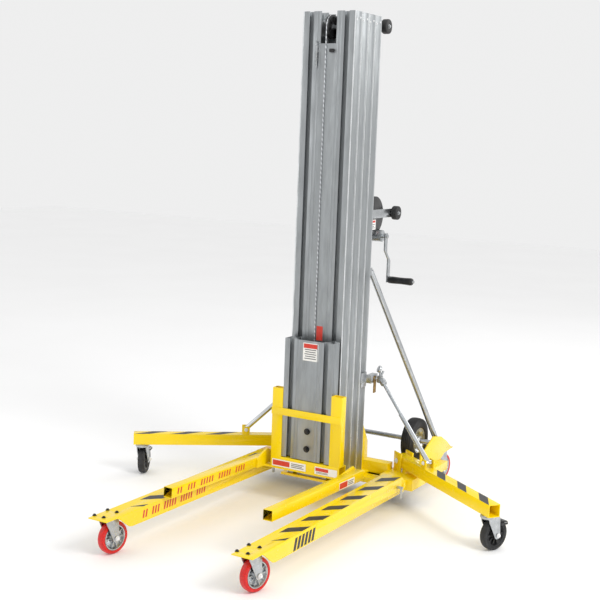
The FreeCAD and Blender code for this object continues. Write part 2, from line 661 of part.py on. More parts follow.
def build_base():
    """The welded frame: mast seat, side boxes, leg stubs, rails and rear side plates."""
    items = [
        block(("-seat_half", "seat_half"), ("mast_front - 6", "cross_front"),
              ("mast_bottom - seat_thick", "mast_bottom - seat_gap")),
        block(("-mast_half", "mast_half"), (FRONTS[1], "cross_front"),
              ("mast_bottom - seat_thick", "mast_bottom")),
        block(("-box_near", "box_near"), ("cross_front", "cross_front + cross_deep"),
              ("cross_top - cross_deep", "cross_top")),
        block(("-box_near", "box_near"), ("box_front", "box_front + 60"),
              ("base_low - 8", "mast_bottom - seat_thick")),
    ]
    for _, side in SIDES:
        leg_mid = "(leg_track * %d - leg_left_of + leg_wide / 2)" % side
        box = block(("box_near", "box_far"), ("box_front", "box_back"),
                    ("base_low - 8", "base_high"), side)
        under = block(("box_near + box_skin", "box_far - box_skin"),
                      ("box_front + box_skin", "box_back - box_skin"),
                      ("base_low - 9", "base_high - box_skin"), side)
        items.append(cut(box, under))
        stub = block((leg_mid + " - stub_half", leg_mid + " + stub_half"),
                     ("stub_front", "box_front"), ("base_low", "base_high"))
        bore = block((leg_mid + " - stub_half + box_skin", leg_mid + " + stub_half - box_skin"),
                     ("stub_front - 1", "box_front"),
                     ("base_low + box_skin", "base_high - box_skin"))
        items.append(cut(stub, bore))
        reach = "leg_wide / 2 + 5"
        items.append(rod("hinge_pin", ("%s - (%s)" % (leg_mid, reach), "hinge_station", "hinge_high"),
                         "2 * (%s)" % reach))
        rail = block(("rail_near", "box_far"), ("box_back", "rail_back"),
                     ("base_low", "base_high"), side)
        inside = block(("rail_near + tube_wall", "box_far - tube_wall"),
                       ("box_back", "rail_back + 1"),
                       ("base_low + tube_wall", "base_high - tube_wall"), side)
        items.append(cut(rail, inside))
        outline = [("box_back - 4", "base_low"), ("box_back - 4", "210"), ("box_back + 38", "214"),
                   ("stay_foot_station - 68", "258"), ("stay_foot_station + 20", "240"),
                   ("rear_station - 24", "206"), ("rear_station + 34", "leg_top + 6"),
                   ("rear_station + 34", "leg_under"), ("rear_station - 40", "leg_under - 4"),
                   ("rail_back + 10", "134"), ("rail_back - 30", "base_low")]
        items.append(plate("x", outline, "side_plate_x", "side_plate_thick", side))
        shelf = block(("rear_track - shelf_half", "side_plate_x + side_plate_thick"),
                      ("rear_station - shelf_reach", "rear_station + shelf_reach"),
                      ("leg_under", "leg_top"), side)
        holes = [rod("caster_bolt_rad",
                     ("rear_track + %d * caster_bolt_across" % dx,
                      "rear_station + %d * caster_bolt_along" % dy, "leg_under - 1"),
                     "leg_skin + 2", "z", side) for dx in (-1, 1) for dy in (-1, 1)]
        items.append(cut(shelf, *holes))
        items.append(block(("rear_track - shelf_half", "rear_track - shelf_half + 4"),
                           ("rear_station - shelf_reach", "rear_station + shelf_reach"),
                           ("leg_under", "leg_top + 14"), side))
        items.append(rod("stay_rad - 5", ("stay_foot_x", "stay_foot_station", "stay_foot_high"),
                         "side_plate_x - stay_foot_x + 1", "x", side))
        support = [("mast_back", "mast_bottom"), ("mast_back", "support_top"),
                   ("mast_back + 12", "support_top - 6"), ("support_back", "240"),
                   ("support_back + 4", "cross_top - 10"), ("support_back", "mast_bottom")]
        items.append(plate("x", support, "mast_half - 12", "6", side))
        items += outrigger_ears(side)
    finish("base_frame", fuse(*items))


def outrigger_ears(side):
    """Two upright ears with a fold pin between them, turned in line with an outrigger."""
    turn = "-outrig_swing" if side > 0 else "180 + outrig_swing"
    half = "outrig_tube / 2 + face_gap"
    ears = []
    for across in (1, -1):
        low, high = (half, half + " + outrig_ear")
        if across < 0:
            low, high = ("-(%s)" % high, "-(%s)" % low)
        ears.append(block(("-4", "58"), (low, high), ("base_high - 6", "outrig_ear_top")))
    ears.append(rod("fold_pin", ("outrig_pivot", "-(%s) - outrig_ear - 3" % half, "outrig_mid"),
                    "2 * (%s + outrig_ear + 3)" % half, "y"))
    ears.append(block(("66", "92"), ("-outrig_tube / 2", "outrig_tube / 2"),
                      ("base_high - 1", "outrig_low - face_gap")))
    whole = fuse(*ears)
    return [place(whole, ("outrig_x * %d" % side, "outrig_station", "0"), ("0", "0", "1"), turn)]


def build_stays():
    bars = []
    for _, side in SIDES:
        foot = ("stay_foot_x * %d" % side, "stay_foot_station", "stay_foot_high")
        head = ("stay_head_x * %d" % side, "stay_head_station", "stay_head_high")
        lug = block(("stay_head_x - 8", "stay_head_x + 8"), ("mast_back", "stay_head_station"),
                    ("stay_head_high - 20", "stay_head_high + 14"), side)
        bars.append(fuse(strut("stay_rad", foot, head), lug))
    finish("rear_stays", group(*bars))


def build_transport():
    """The cross axle, and a wheel of tyre and rim on each end."""
    bar = rod("roll_axle", ("-side_plate_x", "roll_station", "roll_high"), "2 * side_plate_x")
    finish("transport_axle", group(bar))
    for name, side in SIDES:
        mid = "roll_x * %d" % side
        at = ("%s - roll_wide / 2" % mid, "roll_station", "roll_high")
        before = ("%s - roll_wide / 2 - 4" % mid, at[1], at[2])
        tyre = doc.addObject("Part::Fillet", "TyreShoulders")
        tyre.Base = rod("roll_rad", at, "roll_wide")
        tyre.Edges = [(1, 14.0, 14.0), (3, 14.0, 14.0)]
        finish(name + "_transport_tyre", cut(tyre, rod("roll_rim", before, "roll_wide + 8")))
        disc = fuse(rod("roll_rim", ("%s - 3" % mid, at[1], at[2]), "6"),
                    rod("20", ("%s - roll_wide / 2 - 2" % mid, at[1], at[2]), "roll_wide + 4"),
                    cut(rod("roll_rim", ("%s - roll_wide / 2 + 3" % mid, at[1], at[2]),
                            "roll_wide - 6"),
                        rod("roll_rim - 4", before, "roll_wide + 8")))
        finish(name + "_transport_rim",
               cut(disc, rod("roll_axle + running_gap", before, "roll_wide + 8")))


# ---------------------------------------------------------------- outriggers

def build_outriggers():
    for name, side in SIDES:
        turn = "-outrig_swing" if side > 0 else "180 + outrig_swing"
        half = "outrig_tube / 2"
        top = "outrig_low + outrig_tube"
        tube = block(("0", "outrig_long"), ("-" + half, half), ("outrig_low", top))
        bore = block(("-1", "outrig_long + 1"), ("-%s + tube_wall" % half, half + " - tube_wall"),
                     ("outrig_low + tube_wall", top + " - tube_wall"))
        swing_hole = rod("fold_pin + running_gap", ("outrig_pivot", "-%s - 1" % half, "outrig_mid"),
                         "outrig_tube + 2", "y")
        items = [cut(tube, bore, swing_hole)]
        for across in ("-22", "17"):
            items.append(block(("brace_foot - 17", "brace_foot + 17"), (across, across + " + 5"),
                               (top + " - 0.5", "brace_foot_high + 14")))
        items.append(rod("brace_pin", ("brace_foot", "-26", "brace_foot_high"), "52", "y"))
        finish(name + "_outrigger", fuse(*items),
               ("outrig_x * %d" % side, "outrig_station", "0"), ("0", "0", "1"), turn)


def build_braces():
    """A stout tube with a thinner rod in it, pinned on the outrigger and led to the mast."""
    for name, side in SIDES:
        lean = "outrig_swing"
        foot = ("outrig_x * %d + brace_foot * cos(%s) * %d" % (side, lean, side),
                "outrig_station - brace_foot * sin(%s)" % lean, "brace_foot_high")
        head = ("brace_head_x * %d" % side, "brace_head_station", "brace_head_high")
        across = [("(%s) - %d * sin(%s) * %d" % (foot[0], reach, lean, side),
                   "(%s) - %d * cos(%s)" % (foot[1], reach, lean), foot[2]) for reach in (14, -14)]
        eye = strut("brace_tube", *across)
        hole = strut("brace_pin + running_gap", *across)
        bar = fuse(strut("brace_tube", foot, head, "brace_split"), strut("brace_rod", foot, head), eye)
        finish(name + "_brace", cut(bar, hole))


# ---------------------------------------------------------------- casters

def build_caster(name, x, y, mount, tyre_wide, hub):
    """A swivel fork with its axle bolt, and the wheel that turns on it."""
    stand = ((x, y, "0"), ("0", "0", "1"), name + "_swivel")
    inside = "hub_wide / 2 + arm_gap"
    outline = [("-16", mount + " - crown_drop"), ("-12", mount + " - crown_drop - 16"),
               ("trail - 13", "wheel_rad - 10"), ("trail - 6", "wheel_rad - 15"),
               ("trail + 6", "wheel_rad - 15"), ("trail + 13", "wheel_rad - 8"),
               ("trail + 13", "wheel_rad + 8"), ("44", mount + " - crown_drop")]
    # the crown clears the top of the tyre
    items = [block(("-(%s) - arm_thick" % inside, "%s + arm_thick" % inside), ("-20", "44"),
                   (mount + " - crown_drop", mount + " - crown_drop + 4")),
             rod("race_rad", ("0", "0", mount + " - crown_drop + 3"),
                 "crown_drop - 3 - swivel_gap", "z"),
             rod("axle_rad", ("-(%s) - arm_thick - 6" % inside, "trail", "wheel_rad"),
                 "2 * (%s + arm_thick + 6)" % inside)]
    for side in (-1, 1):
        items.append(plate("x", outline, inside, "arm_thick", side))
        items.append(rod("axle_nut_rad", (inside + " + arm_thick", "trail", "wheel_rad"), "5", "x", side))
    finish(name + "_caster_fork", fuse(*items), *stand)
    half = "%s / 2" % tyre_wide
    disc = rod("wheel_rad", ("-" + half, "trail", "wheel_rad"), tyre_wide)
    shoulders = doc.addObject("Part::Fillet", "TyreShoulders")
    shoulders.Base = disc
    shoulders.Edges = [(1, 5.0, 5.0), (3, 5.0, 5.0)]
    rim = "wheel_rad - tyre_thick"
    through = ("-hub_wide", "trail", "wheel_rad")
    core = cut(rod(rim, ("-%s + 1" % half, "trail", "wheel_rad"), "%s - 2" % tyre_wide),
               rod(rim + " - 5", ("web_thick / 2", "trail", "wheel_rad"), tyre_wide),
               rod(rim + " - 5", ("-web_thick / 2 - %s" % tyre_wide, "trail", "wheel_rad"), tyre_wide))
    boss = rod("boss_rad", ("-hub_wide / 2", "trail", "wheel_rad"), "hub_wide")
    bore = rod("axle_rad + running_gap", through, "2 * hub_wide")
    if hub:
        tyre = cut(shoulders, rod(rim, through, "2 * hub_wide"))
        finish(name + "_caster_tyre", tyre, *stand)
        finish(name + "_caster_hub", cut(fuse(core, boss), bore), *stand)
    else:
        dish = cut(shoulders, rod(rim + " - 5", ("web_thick / 2", "trail", "wheel_rad"), tyre_wide),
                   rod(rim + " - 5", ("-web_thick / 2 - %s" % tyre_wide, "trail", "wheel_rad"),
                       tyre_wide))
        finish(name + "_caster_wheel", cut(fuse(dish, boss), bore), *stand)


def build_casters():
    for name, side in SIDES:
        build_caster(name + "_front", "leg_track * %d" % side, "0", "leg_under", "wheel_wide", True)
        build_caster(name + "_rear", "rear_track * %d" % side, "rear_station", "leg_under",
                     "wheel_wide", True)
        reach = "(outrig_long - outrig_caster)"
        build_caster(name + "_outrigger",
                     "(outrig_x + %s * cos(outrig_swing)) * %d" % (reach, side),
                     "outrig_station - %s * sin(outrig_swing)" % reach, "outrig_low",
                     "wheel_wide", False)


# ---------------------------------------------------------------- winch

def build_winch():
    at = ("drum_station", "drum_high")
    plates = []
    outline = [("mast_back", "crank_high - 28"), ("crank_station + 18", "crank_high - 26"),
               ("crank_station + 28", "crank_high"), ("drum_station + 66", "drum_high + 30"),
               ("drum_station + 30", "drum_high + 76"), ("mast_back", "drum_high + 80")]
    for _, side in SIDES:
        plates.append(plate("x", outline, "frame_near", "frame_thick", side))
    plates.append(block(("-frame_near", "frame_near"), ("mast_back", "mast_back + 4"),
                        ("crank_high - 28", "crank_high + 10")))
    plates.append(block(("-frame_near", "frame_near"), ("mast_back", "mast_back + 4"),
                        ("drum_high + 50", "drum_high + 80")))
    plates.append(rod("drum_axle", ("-frame_near - 10", *at), "2 * frame_near + 20"))
    plates.append(rod("crank_boss_rad",
                      ("frame_near + frame_thick - 1", "crank_station", "crank_high"),
                      "crank_boss_long"))
    body = fuse(*plates)
    bore = rod("crank_shaft + running_gap", ("-frame_near - 20", "crank_station", "crank_high"),
               "2 * frame_near + 120")
    finish("winch_frame", cut(body, bore))


def build_drum_and_crank():
    at = ("drum_station", "drum_high")
    drum = fuse(rod("drum_core", ("-drum_half", *at), "2 * drum_half"),
                rod("drum_flange", ("-drum_half", *at), "4"),
                rod("drum_flange", ("drum_half - 4", *at), "4"),
                rod("gear_rad", ("drum_half - 1", *at), "gear_near + gear_thick - drum_half + 1"))
    finish("cable_drum", cut(drum, rod("drum_axle + running_gap", ("-drum_half - 1", *at),
                                       "2 * drum_half + gear_thick + 12")))
    shell = rod("cover_rad", ("cover_near", *at), "cover_far - cover_near")
    hollow = rod("cover_rad - 3", ("cover_near - 1", *at), "cover_far - cover_near - 2")
    boss = rod("cover_boss_rad", ("frame_near + frame_thick", *at),
               "cover_far - frame_near - frame_thick + 1")
    clear = rod("crank_clear", ("cover_near - 2", "crank_station", "crank_high"), "60")
    axle_hole = rod("drum_axle + 1", ("frame_near", *at), "20")
    finish("winch_cover", cut(fuse(cut(shell, hollow), boss), clear, axle_hole))
    shaft = rod("crank_shaft", ("-frame_near - 8", "crank_station", "crank_high"),
                "frame_near + 8 + crank_x + crank_thick + 6")
    pinion = rod("pinion_rad", ("gear_near", "crank_station", "crank_high"), "gear_thick")
    knee = "crank_high - crank_drop / 2"
    half = "crank_wide / 2"
    end = "crank_high - crank_drop"
    outline = [("crank_station - %s" % half, "crank_high + 14"),
               ("crank_station + %s" % half, "crank_high + 14"),
               ("crank_station + %s" % half, knee + " + 26"),
               ("crank_station + crank_set + %s" % half, knee + " - 14"),
               ("crank_station + crank_set + %s" % half, end + " - 12"),
               ("crank_station + crank_set - %s" % half, end + " - 12"),
               ("crank_station + crank_set - %s" % half, knee + " - 6"),
               ("crank_station - %s" % half, knee + " + 34")]
    arm = plate("x", outline, "crank_x", "crank_thick")
    pin_at = ("crank_x", "crank_station + crank_set", end)
    pin = rod("grip_pin", pin_at, "crank_thick + grip_long + 8")
    finish("winch_crank", fuse(shaft, pinion, arm, pin))
    grip_at = ("crank_x + crank_thick + 1", pin_at[1], end)
    before = ("crank_x + crank_thick", pin_at[1], end)
    grip = cut(rod("grip_rad", grip_at, "grip_long"),
               rod("grip_pin + running_gap", before, "grip_long + 2"))
    finish("crank_grip", grip)


# ---------------------------------------------------------------- rollers and brackets

def build_rollers():
    for label, near, y, z in (("upper_rollers", "top_roller_x", "top_roller_station", "top_roller_high"),
                              ("lower_rollers", "low_roller_x", "low_roller_station", "low_roller_high")):
        pair = []
        for _, side in SIDES:
            wheel = rod("roller_rad", (near, y, z), "roller_wide", "x", side)
            hole = rod("roller_pin + running_gap", (near + " - 1", y, z), "roller_wide + 2", "x", side)
            pair.append(cut(wheel, hole))
        finish(label, group(*pair))


def build_mast_brackets():
    """Arms for the loading rollers and plates for the braces, all bolted on the mast."""
    items = []
    for label, near, y, z, drop in (("top", "top_roller_x", "top_roller_station", "top_roller_high", 24),
                                    ("low", "low_roller_x", "low_roller_station", "low_roller_high", 19)):
        arms = []
        for _, side in SIDES:
            arms.append(block((near + " - 1 - bracket_thick", near + " - 1"),
                              ("mast_back", y + " + 14"),
                              ("%s - %d" % (z, drop), "%s + %d" % (z, drop)), side))
            arms.append(rod("roller_pin", (near + " - 2", y, z), "roller_wide + 8", "x", side))
        arms.append(rod("roller_pin", ("-(%s) + 3" % near, y, z), "2 * (%s) - 6" % near))
        items.append(fuse(*arms))
    for _, side in SIDES:
        strap = block(("mast_half", "mast_half + 4"), ("mast_back - 50", "mast_back"),
                      ("brace_head_high - 32", "brace_head_high + 32"), side)
        arm = block(("mast_half", "brace_head_x - 16"), ("mast_back", "brace_head_station + 4"),
                    ("brace_head_high - 18", "brace_head_high + 18"), side)
        pivot = rod("clamp_pin", ("brace_head_x - 17", "brace_head_station - 26", "brace_head_high"),
                    "6", "x", side)
        joint = block(("mast_half", "mast_half + 4"), ("mast_back - 1", "mast_back + 1"),
                      ("brace_head_high - 18", "brace_head_high + 18"), side)
        items.append(fuse(strap, arm, joint, pivot))
    finish("mast_brackets", group(*items))
    for name, side in SIDES:
        near = "brace_head_x - 16 + face_gap"
        at = (near, "brace_head_station - 26", "brace_head_high")
        paddle = block((near, near + " + 3"), ("brace_head_station - 38", "brace_head_station - 14"),
                       ("brace_head_high - 64", "brace_head_high"), side)
        head = rod("lever_head_rad", at, "3", "x", side)
        hole = rod("clamp_pin + running_gap", ("%s - 1" % near, at[1], at[2]), "6", "x", side)
        finish(name + "_brace_lever", cut(fuse(paddle, head), hole))


# ---------------------------------------------------------------- build and write

build_mast()
build_carriage()
build_carriage_frame()
build_forks()
build_front_legs()
build_base()
build_stays()
build_transport()
build_outriggers()
build_braces()
build_casters()
build_winch()
build_drum_and_crank()
build_rollers()
build_mast_brackets()
doc.recompute()
build_cables()
doc.recompute()

for item in doc.Objects:
    if "Invalid" in item.State or "Error" in item.State:
        raise RuntimeError("%s failed: %s" % (item.Label, item.State))
for item in SUBPARTS:
    if item.Shape.isNull() or not item.Shape.isValid():
        raise RuntimeError("%s has no sound shape" % item.Label)

os.makedirs("parts", exist_ok=True)
for item in SUBPARTS:
    item.Shape.exportStep("parts/%s.step" % item.Label)
print(len(SUBPARTS), "sub-parts")
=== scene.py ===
"""Mast material lift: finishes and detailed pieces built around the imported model."""

import json
import math

import bmesh
import bpy
from mathutils import Matrix, Vector


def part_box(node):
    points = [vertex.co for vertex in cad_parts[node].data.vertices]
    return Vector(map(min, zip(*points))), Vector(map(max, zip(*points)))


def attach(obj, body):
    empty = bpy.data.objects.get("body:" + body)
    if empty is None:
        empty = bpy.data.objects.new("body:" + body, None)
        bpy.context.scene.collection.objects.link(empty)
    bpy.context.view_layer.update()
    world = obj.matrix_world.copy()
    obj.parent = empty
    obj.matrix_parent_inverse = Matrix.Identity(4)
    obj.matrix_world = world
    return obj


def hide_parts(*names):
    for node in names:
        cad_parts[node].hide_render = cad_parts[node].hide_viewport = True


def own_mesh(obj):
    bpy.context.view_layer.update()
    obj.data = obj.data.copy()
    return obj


bl_info = {
    "name": "Mast material lift",
    "version": (1, 0, 0),
    "blender": (4, 5, 0),
    "location": "3D View > Sidebar > Lift",
    "description": "Builds the finishes and the detailed pieces of a telescoping mast lift",
    "category": "Object",
}

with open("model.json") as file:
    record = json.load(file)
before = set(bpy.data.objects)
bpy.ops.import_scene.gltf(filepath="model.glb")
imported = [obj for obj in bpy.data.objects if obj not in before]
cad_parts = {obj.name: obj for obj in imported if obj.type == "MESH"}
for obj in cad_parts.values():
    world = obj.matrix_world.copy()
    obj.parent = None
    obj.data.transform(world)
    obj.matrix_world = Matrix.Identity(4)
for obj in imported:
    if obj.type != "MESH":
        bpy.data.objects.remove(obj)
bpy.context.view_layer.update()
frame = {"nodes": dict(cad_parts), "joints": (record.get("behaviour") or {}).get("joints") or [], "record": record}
NODES = frame["nodes"]
JOINTS = {joint["name"]: joint for joint in frame["joints"]}
BODY_OF = {node: body for body, members in frame["record"]["behaviour"]["bodies"].items()
           for node in members}
SLOT_OF = {part["node"]: part["material_slot"] for part in frame["record"]["subparts"]}
SIDES = (("left", -1), ("right", 1))
X_AXIS = Vector((1, 0, 0))
Z_AXIS = Vector((0, 0, 1))


def mm(*values):
    """Millimetres to metres: one number, or a vector of three."""
    if len(values) == 1:
        return values[0] / 1000
    return Vector(values) / 1000


def per_mm(size):
    """A pattern scale, in repeats per metre, for a feature of this many millimetres."""
    return 1000 / size


def linear(code):
    """An sRGB hex colour as linear red, green, blue and alpha."""
    channels = [int(code[start:start + 2], 16) / 255 for start in (0, 2, 4)]
    return tuple(c / 12.92 if c <= 0.04045 else ((c + 0.055) / 1.055) ** 2.4
                 for c in channels) + (1.0,)


def at_joint(name):
    return Vector(JOINTS[name]["pos_m"])


# ---------------------------------------------------------------- sizes and colours

def length(name, text, default):
    return bpy.props.FloatProperty(name=name, description=text, default=mm(default),
                                   subtype="DISTANCE", unit="LENGTH")


def tint(name, text, code):
    return bpy.props.FloatVectorProperty(name=name, description=text, subtype="COLOR", size=4,
                                         min=0, max=1, default=linear(code))


class LiftSizes(bpy.types.PropertyGroup):
    """Sizes of the detailed pieces."""
    mast_edge: length("Mast edge", "Rounding on the corners of the mast extrusions", 1.1)
    tube_edge: length("Tube edge", "Rounding on the corners of the painted tubes and plates", 1.6)
    fine_edge: length("Fine edge", "Rounding on small plated parts", 0.5)
    cable: length("Cable radius", "Radius of the wire rope", 2.5)
    tape: length("Tape thickness", "Thickness of the stripes and labels", 0.35)
    leg_stripe_pitch: length("Stripe pitch", "Distance between the stripes on a front leg", 154)
    leg_stripe_wide: length("Stripe width", "Length of one stripe along a front leg", 62)
    tyre_crown: length("Tyre crown", "Height of the crown across a caster's tread", 2.4)
    tread_groove: length("Tread groove", "Depth of the grooves in the transport tyres", 3.2)


class LiftColours(bpy.types.PropertyGroup):
    """Colours of the finishes."""
    enamel: tint("Yellow enamel", "Paint on the steel frame", "FBD900")
    aluminium: tint("Mill aluminium", "Bare extrusions of the mast", "ABAFB1")
    zinc: tint("Zinc plate", "Plated steel parts", "C3C6C8")
    tyre_red: tint("Red polyurethane", "Caster tyres", "D8140F")
    rubber: tint("Black rubber", "Rollers and transport tyres", "1C1C1D")
    moulding: tint("Black nylon", "Sheaves, winch cover and grip", "161617")
    tape_black: tint("Black tape", "Stripes on the legs", "1A1818")
    tape_red: tint("Red print", "Blocks and bars on the labels", "D2321E")
    tape_white: tint("White film", "Ground of the labels", "F1F0EC")
    brass: tint("Brass", "Release levers of the braces", "B08A45")


def sizes():
    return bpy.context.scene.lift_sizes


def colours():
    return bpy.context.scene.lift_colours


# ---------------------------------------------------------------- node helpers

def add(tree, kind, inputs=None, **settings):
    """One node with its settings; a socket given as an input is linked, a value is set."""
    made = tree.nodes.new(kind)
    for name, value in settings.items():
        setattr(made, name, value)
    for key, value in (inputs or {}).items():
        if isinstance(value, bpy.types.NodeSocket):
            tree.links.new(value, made.inputs[key])
        else:
            made.inputs[key].default_value = value
    return made


def shader_tree(name):
    """A new material with a Principled shader, and Object coordinates to pattern it by."""
    made = bpy.data.materials.new(name)
    made.use_nodes = True
    tree = made.node_tree
    tree.nodes.clear()
    shader = add(tree, "ShaderNodeBsdfPrincipled")
    add(tree, "ShaderNodeOutputMaterial", {"Surface": shader.outputs["BSDF"]})
    place = add(tree, "ShaderNodeTexCoord").outputs["Object"]
    return made, tree, shader, place


def stretched(tree, place, scale):
    """Object coordinates scaled differently along each axis."""
    return add(tree, "ShaderNodeMapping", {"Vector": place, "Scale": scale}).outputs["Vector"]


def noise(tree, place, scale, detail=3.0, roughness=0.5):
    return add(tree, "ShaderNodeTexNoise", {"Vector": place, "Scale": scale, "Detail": detail,
                                            "Roughness": roughness}).outputs["Fac"]


def remap(tree, value, low, high, to_low=0.0, to_high=1.0):
    """A value stretched from one span to another and kept inside it."""
    return add(tree, "ShaderNodeMapRange", {"Value": value, "From Min": low, "From Max": high,
                                            "To Min": to_low, "To Max": to_high}).outputs["Result"]


def mix_colours(tree, amount, first, second):
    """Two colours mixed by an amount."""
    blend = add(tree, "ShaderNodeMix", data_type="RGBA")
    for socket, value in ((blend.inputs[0], amount), (blend.inputs[6], first), (blend.inputs[7], second)):
        if isinstance(value, bpy.types.NodeSocket):
            tree.links.new(value, socket)
        else:
            socket.default_value = value
    return blend.outputs[2]


def shade(tree, shader, colour=None, roughness=None, height=None, depth=0.2, **fixed):
    """Feeds a Principled shader; depth is the bump's height in millimetres."""
    for key, value in (("Base Color", colour), ("Roughness", roughness)):
        if isinstance(value, bpy.types.NodeSocket):
            tree.links.new(value, shader.inputs[key])
        elif value is not None:
            shader.inputs[key].default_value = value
    if height is not None:
        bump = add(tree, "ShaderNodeBump", {"Height": height, "Strength": 1.0, "Distance": mm(depth)})
        tree.links.new(bump.outputs["Normal"], shader.inputs["Normal"])
    for name, value in fixed.items():
        shader.inputs[name.replace("_", " ")].default_value = value


def darker(colour, share):
    return tuple(channel * share for channel in colour[:3]) + (1.0,)


# ---------------------------------------------------------------- materials

def yellow_enamel():
    """Baked enamel on steel tube: glossy, slightly rippled, rubbed and dusty in places."""
    made, tree, shader, place = shader_tree("yellow_enamel")
    base = colours().enamel
    cloud = remap(tree, noise(tree, place, per_mm(160)), 0.3, 0.7)
    paint = mix_colours(tree, cloud, darker(base, 0.95), base)
    grime = remap(tree, noise(tree, place, per_mm(28), 6.0, 0.62), 0.62, 0.82)
    paint = mix_colours(tree, grime, paint, darker(base, 0.68))
    # short rubs left by loads and straps, drawn coarser than real ones so that they show
    rub_place = stretched(tree, place, (per_mm(30), per_mm(6), per_mm(4)))
    rubs = remap(tree, noise(tree, rub_place, 1.0, 5.0, 0.6), 0.74, 0.78)
    paint = mix_colours(tree, rubs, paint, linear("A89A50"))
    # orange peel of sprayed enamel, about 1.5 mm across, drawn at 3 mm
    peel = noise(tree, place, per_mm(3), 1.0)
    gloss = remap(tree, grime, 0.0, 1.0, 0.27, 0.55)
    shade(tree, shader, paint, gloss, peel, 0.05, Coat_Weight=0.25, Coat_Roughness=0.12)
    return made


def mill_aluminium():
    """Extruded aluminium as it leaves the die: grey, with lengthwise die lines and handling smears."""
    made, tree, shader, place = shader_tree("mast_aluminium")
    base = colours().aluminium
    # die lines run the whole length, a few tenths of a millimetre wide, drawn at 2 mm
    lines = noise(tree, stretched(tree, place, (per_mm(2), per_mm(2), per_mm(900))), 1.0, 4.0)
    smear_place = stretched(tree, place, (per_mm(26), per_mm(26), per_mm(150)))
    smears = remap(tree, noise(tree, smear_place, 1.0, 5.0, 0.65), 0.35, 0.68)
    metal = mix_colours(tree, smears, darker(base, 0.72), base)
    metal = mix_colours(tree, remap(tree, lines, 0.42, 0.62), metal, darker(base, 0.86))
    rough = remap(tree, smears, 0.0, 1.0, 0.50, 0.34)
    shade(tree, shader, metal, rough, lines, 0.12, Metallic=0.92)
    return made


def pale_and_highlight_aluminium():
    """Near-white aluminium: on the mast's corner beads a painted highlight that stands for the shine of the
    rounded corners; also the pale discs of the transport wheels.
    """
    made, tree, shader, place = shader_tree("pale_and_highlight_aluminium")
    # painted highlight: on the beads these near-white tones and lengthwise streaks stand for the shine of rounded
    # corners; on the wheel discs they are the pale rim's tone
    rub = noise(tree, stretched(tree, place, (per_mm(8), per_mm(8), per_mm(70))), 1.0, 4.0, 0.6)
    streak_mask = remap(tree, rub, 0.35, 0.65)
    metal = mix_colours(tree, streak_mask, linear("C2C5C6"), linear("ECEEEF"))
    shade(tree, shader, metal, remap(tree, streak_mask, 0.0, 1.0, 0.38, 0.24), rub, 0.03, Metallic=0.9)
    return made


def zinc_plate():
    """Bright electroplated zinc on pressed steel: bluish, faintly cloudy."""
    made, tree, shader, place = shader_tree("zinc_plate")
    base = colours().zinc
    cloud = remap(tree, noise(tree, place, per_mm(18), 4.0, 0.6), 0.35, 0.7)
    metal = mix_colours(tree, cloud, darker(base, 0.78), base)
    fine = noise(tree, place, per_mm(1.2), 2.0)
    shade(tree, shader, metal, remap(tree, cloud, 0.0, 1.0, 0.36, 0.22), fine, 0.02, Metallic=1.0)
    return made


def chrome_rod():
    """Hard chrome on a ground rod: mirror bright, with the faint rings of grinding."""
    made, tree, shader, place = shader_tree("chrome_rod")
    rings = noise(tree, stretched(tree, place, (per_mm(60), per_mm(60), per_mm(1.5))), 1.0, 2.0)
    tone = mix_colours(tree, rings, linear("BFC3C6"), linear("DDE0E2"))
    shade(tree, shader, tone, remap(tree, rings, 0.3, 0.7, 0.08, 0.16), rings, 0.01, Metallic=1.0)
    return made


def wire_rope():
    """Galvanised wire rope: bright strands laid at a slant, with painted shade in the grooves between them."""
    made, tree, shader, place = shader_tree("steel_cable")
    # strands of a 5 mm rope cross it every 5 mm, drawn in Object space as slanting bands
    bands = add(tree, "ShaderNodeTexWave", {"Vector": place, "Scale": per_mm(5) / math.tau,
                                            "Distortion": 0.0}, bands_direction="DIAGONAL")
    # the darker tone of the bands is painted shade in the grooves between strands
    metal = mix_colours(tree, bands.outputs["Fac"], linear("96999C"), linear("DADCDE"))
    shade(tree, shader, metal, 0.36, bands.outputs["Fac"], 0.5, Metallic=0.9)
    return made


def slide_plastic():
    """Machined polyethylene: waxy white with fine cutter marks."""
    made, tree, shader, place = shader_tree("slide_plastic")
    marks = noise(tree, stretched(tree, place, (per_mm(2), per_mm(2), per_mm(30))), 1.0, 2.0)
    tone = mix_colours(tree, marks, linear("D9D8CF"), linear("EDECE6"))
    shade(tree, shader, tone, 0.45, marks, 0.05, Subsurface_Weight=0.1)
    return made


def black_moulding(name, base, rough, grain, depth):
    """Moulded nylon or rubber: a fine grain from the mould and dusty patches."""
    made, tree, shader, place = shader_tree(name)
    dust = remap(tree, noise(tree, place, per_mm(22), 5.0, 0.6), 0.45, 0.8)
    tone = mix_colours(tree, dust, base, linear("3A3A3B"))
    # mould grain is about half a millimetre, drawn a little coarser
    shade(tree, shader, tone, remap(tree, dust, 0.0, 1.0, rough, rough + 0.2),
          noise(tree, place, per_mm(grain), 2.0), depth)
    return made


def brass_lever():
    """Pressed brass that has dulled: warm, with darker fingerprints."""
    made, tree, shader, place = shader_tree("brass_lever")
    base = colours().brass
    prints = remap(tree, noise(tree, place, per_mm(9), 4.0, 0.6), 0.4, 0.7)
    tone = mix_colours(tree, prints, darker(base, 0.6), base)
    shade(tree, shader, tone, remap(tree, prints, 0.0, 1.0, 0.45, 0.28), prints, 0.03, Metallic=0.9)
    return made


def red_polyurethane():
    """Cast polyurethane: smooth, dense red, scuffed duller where it rolls."""
    made, tree, shader, place = shader_tree("red_polyurethane")
    base = colours().tyre_red
    scuff = remap(tree, noise(tree, place, per_mm(7), 6.0, 0.65), 0.45, 0.75)
    tone = mix_colours(tree, scuff, base, darker(base, 0.55))
    shade(tree, shader, tone, remap(tree, scuff, 0.0, 1.0, 0.28, 0.5), scuff, 0.06,
          Subsurface_Weight=0.05)
    return made


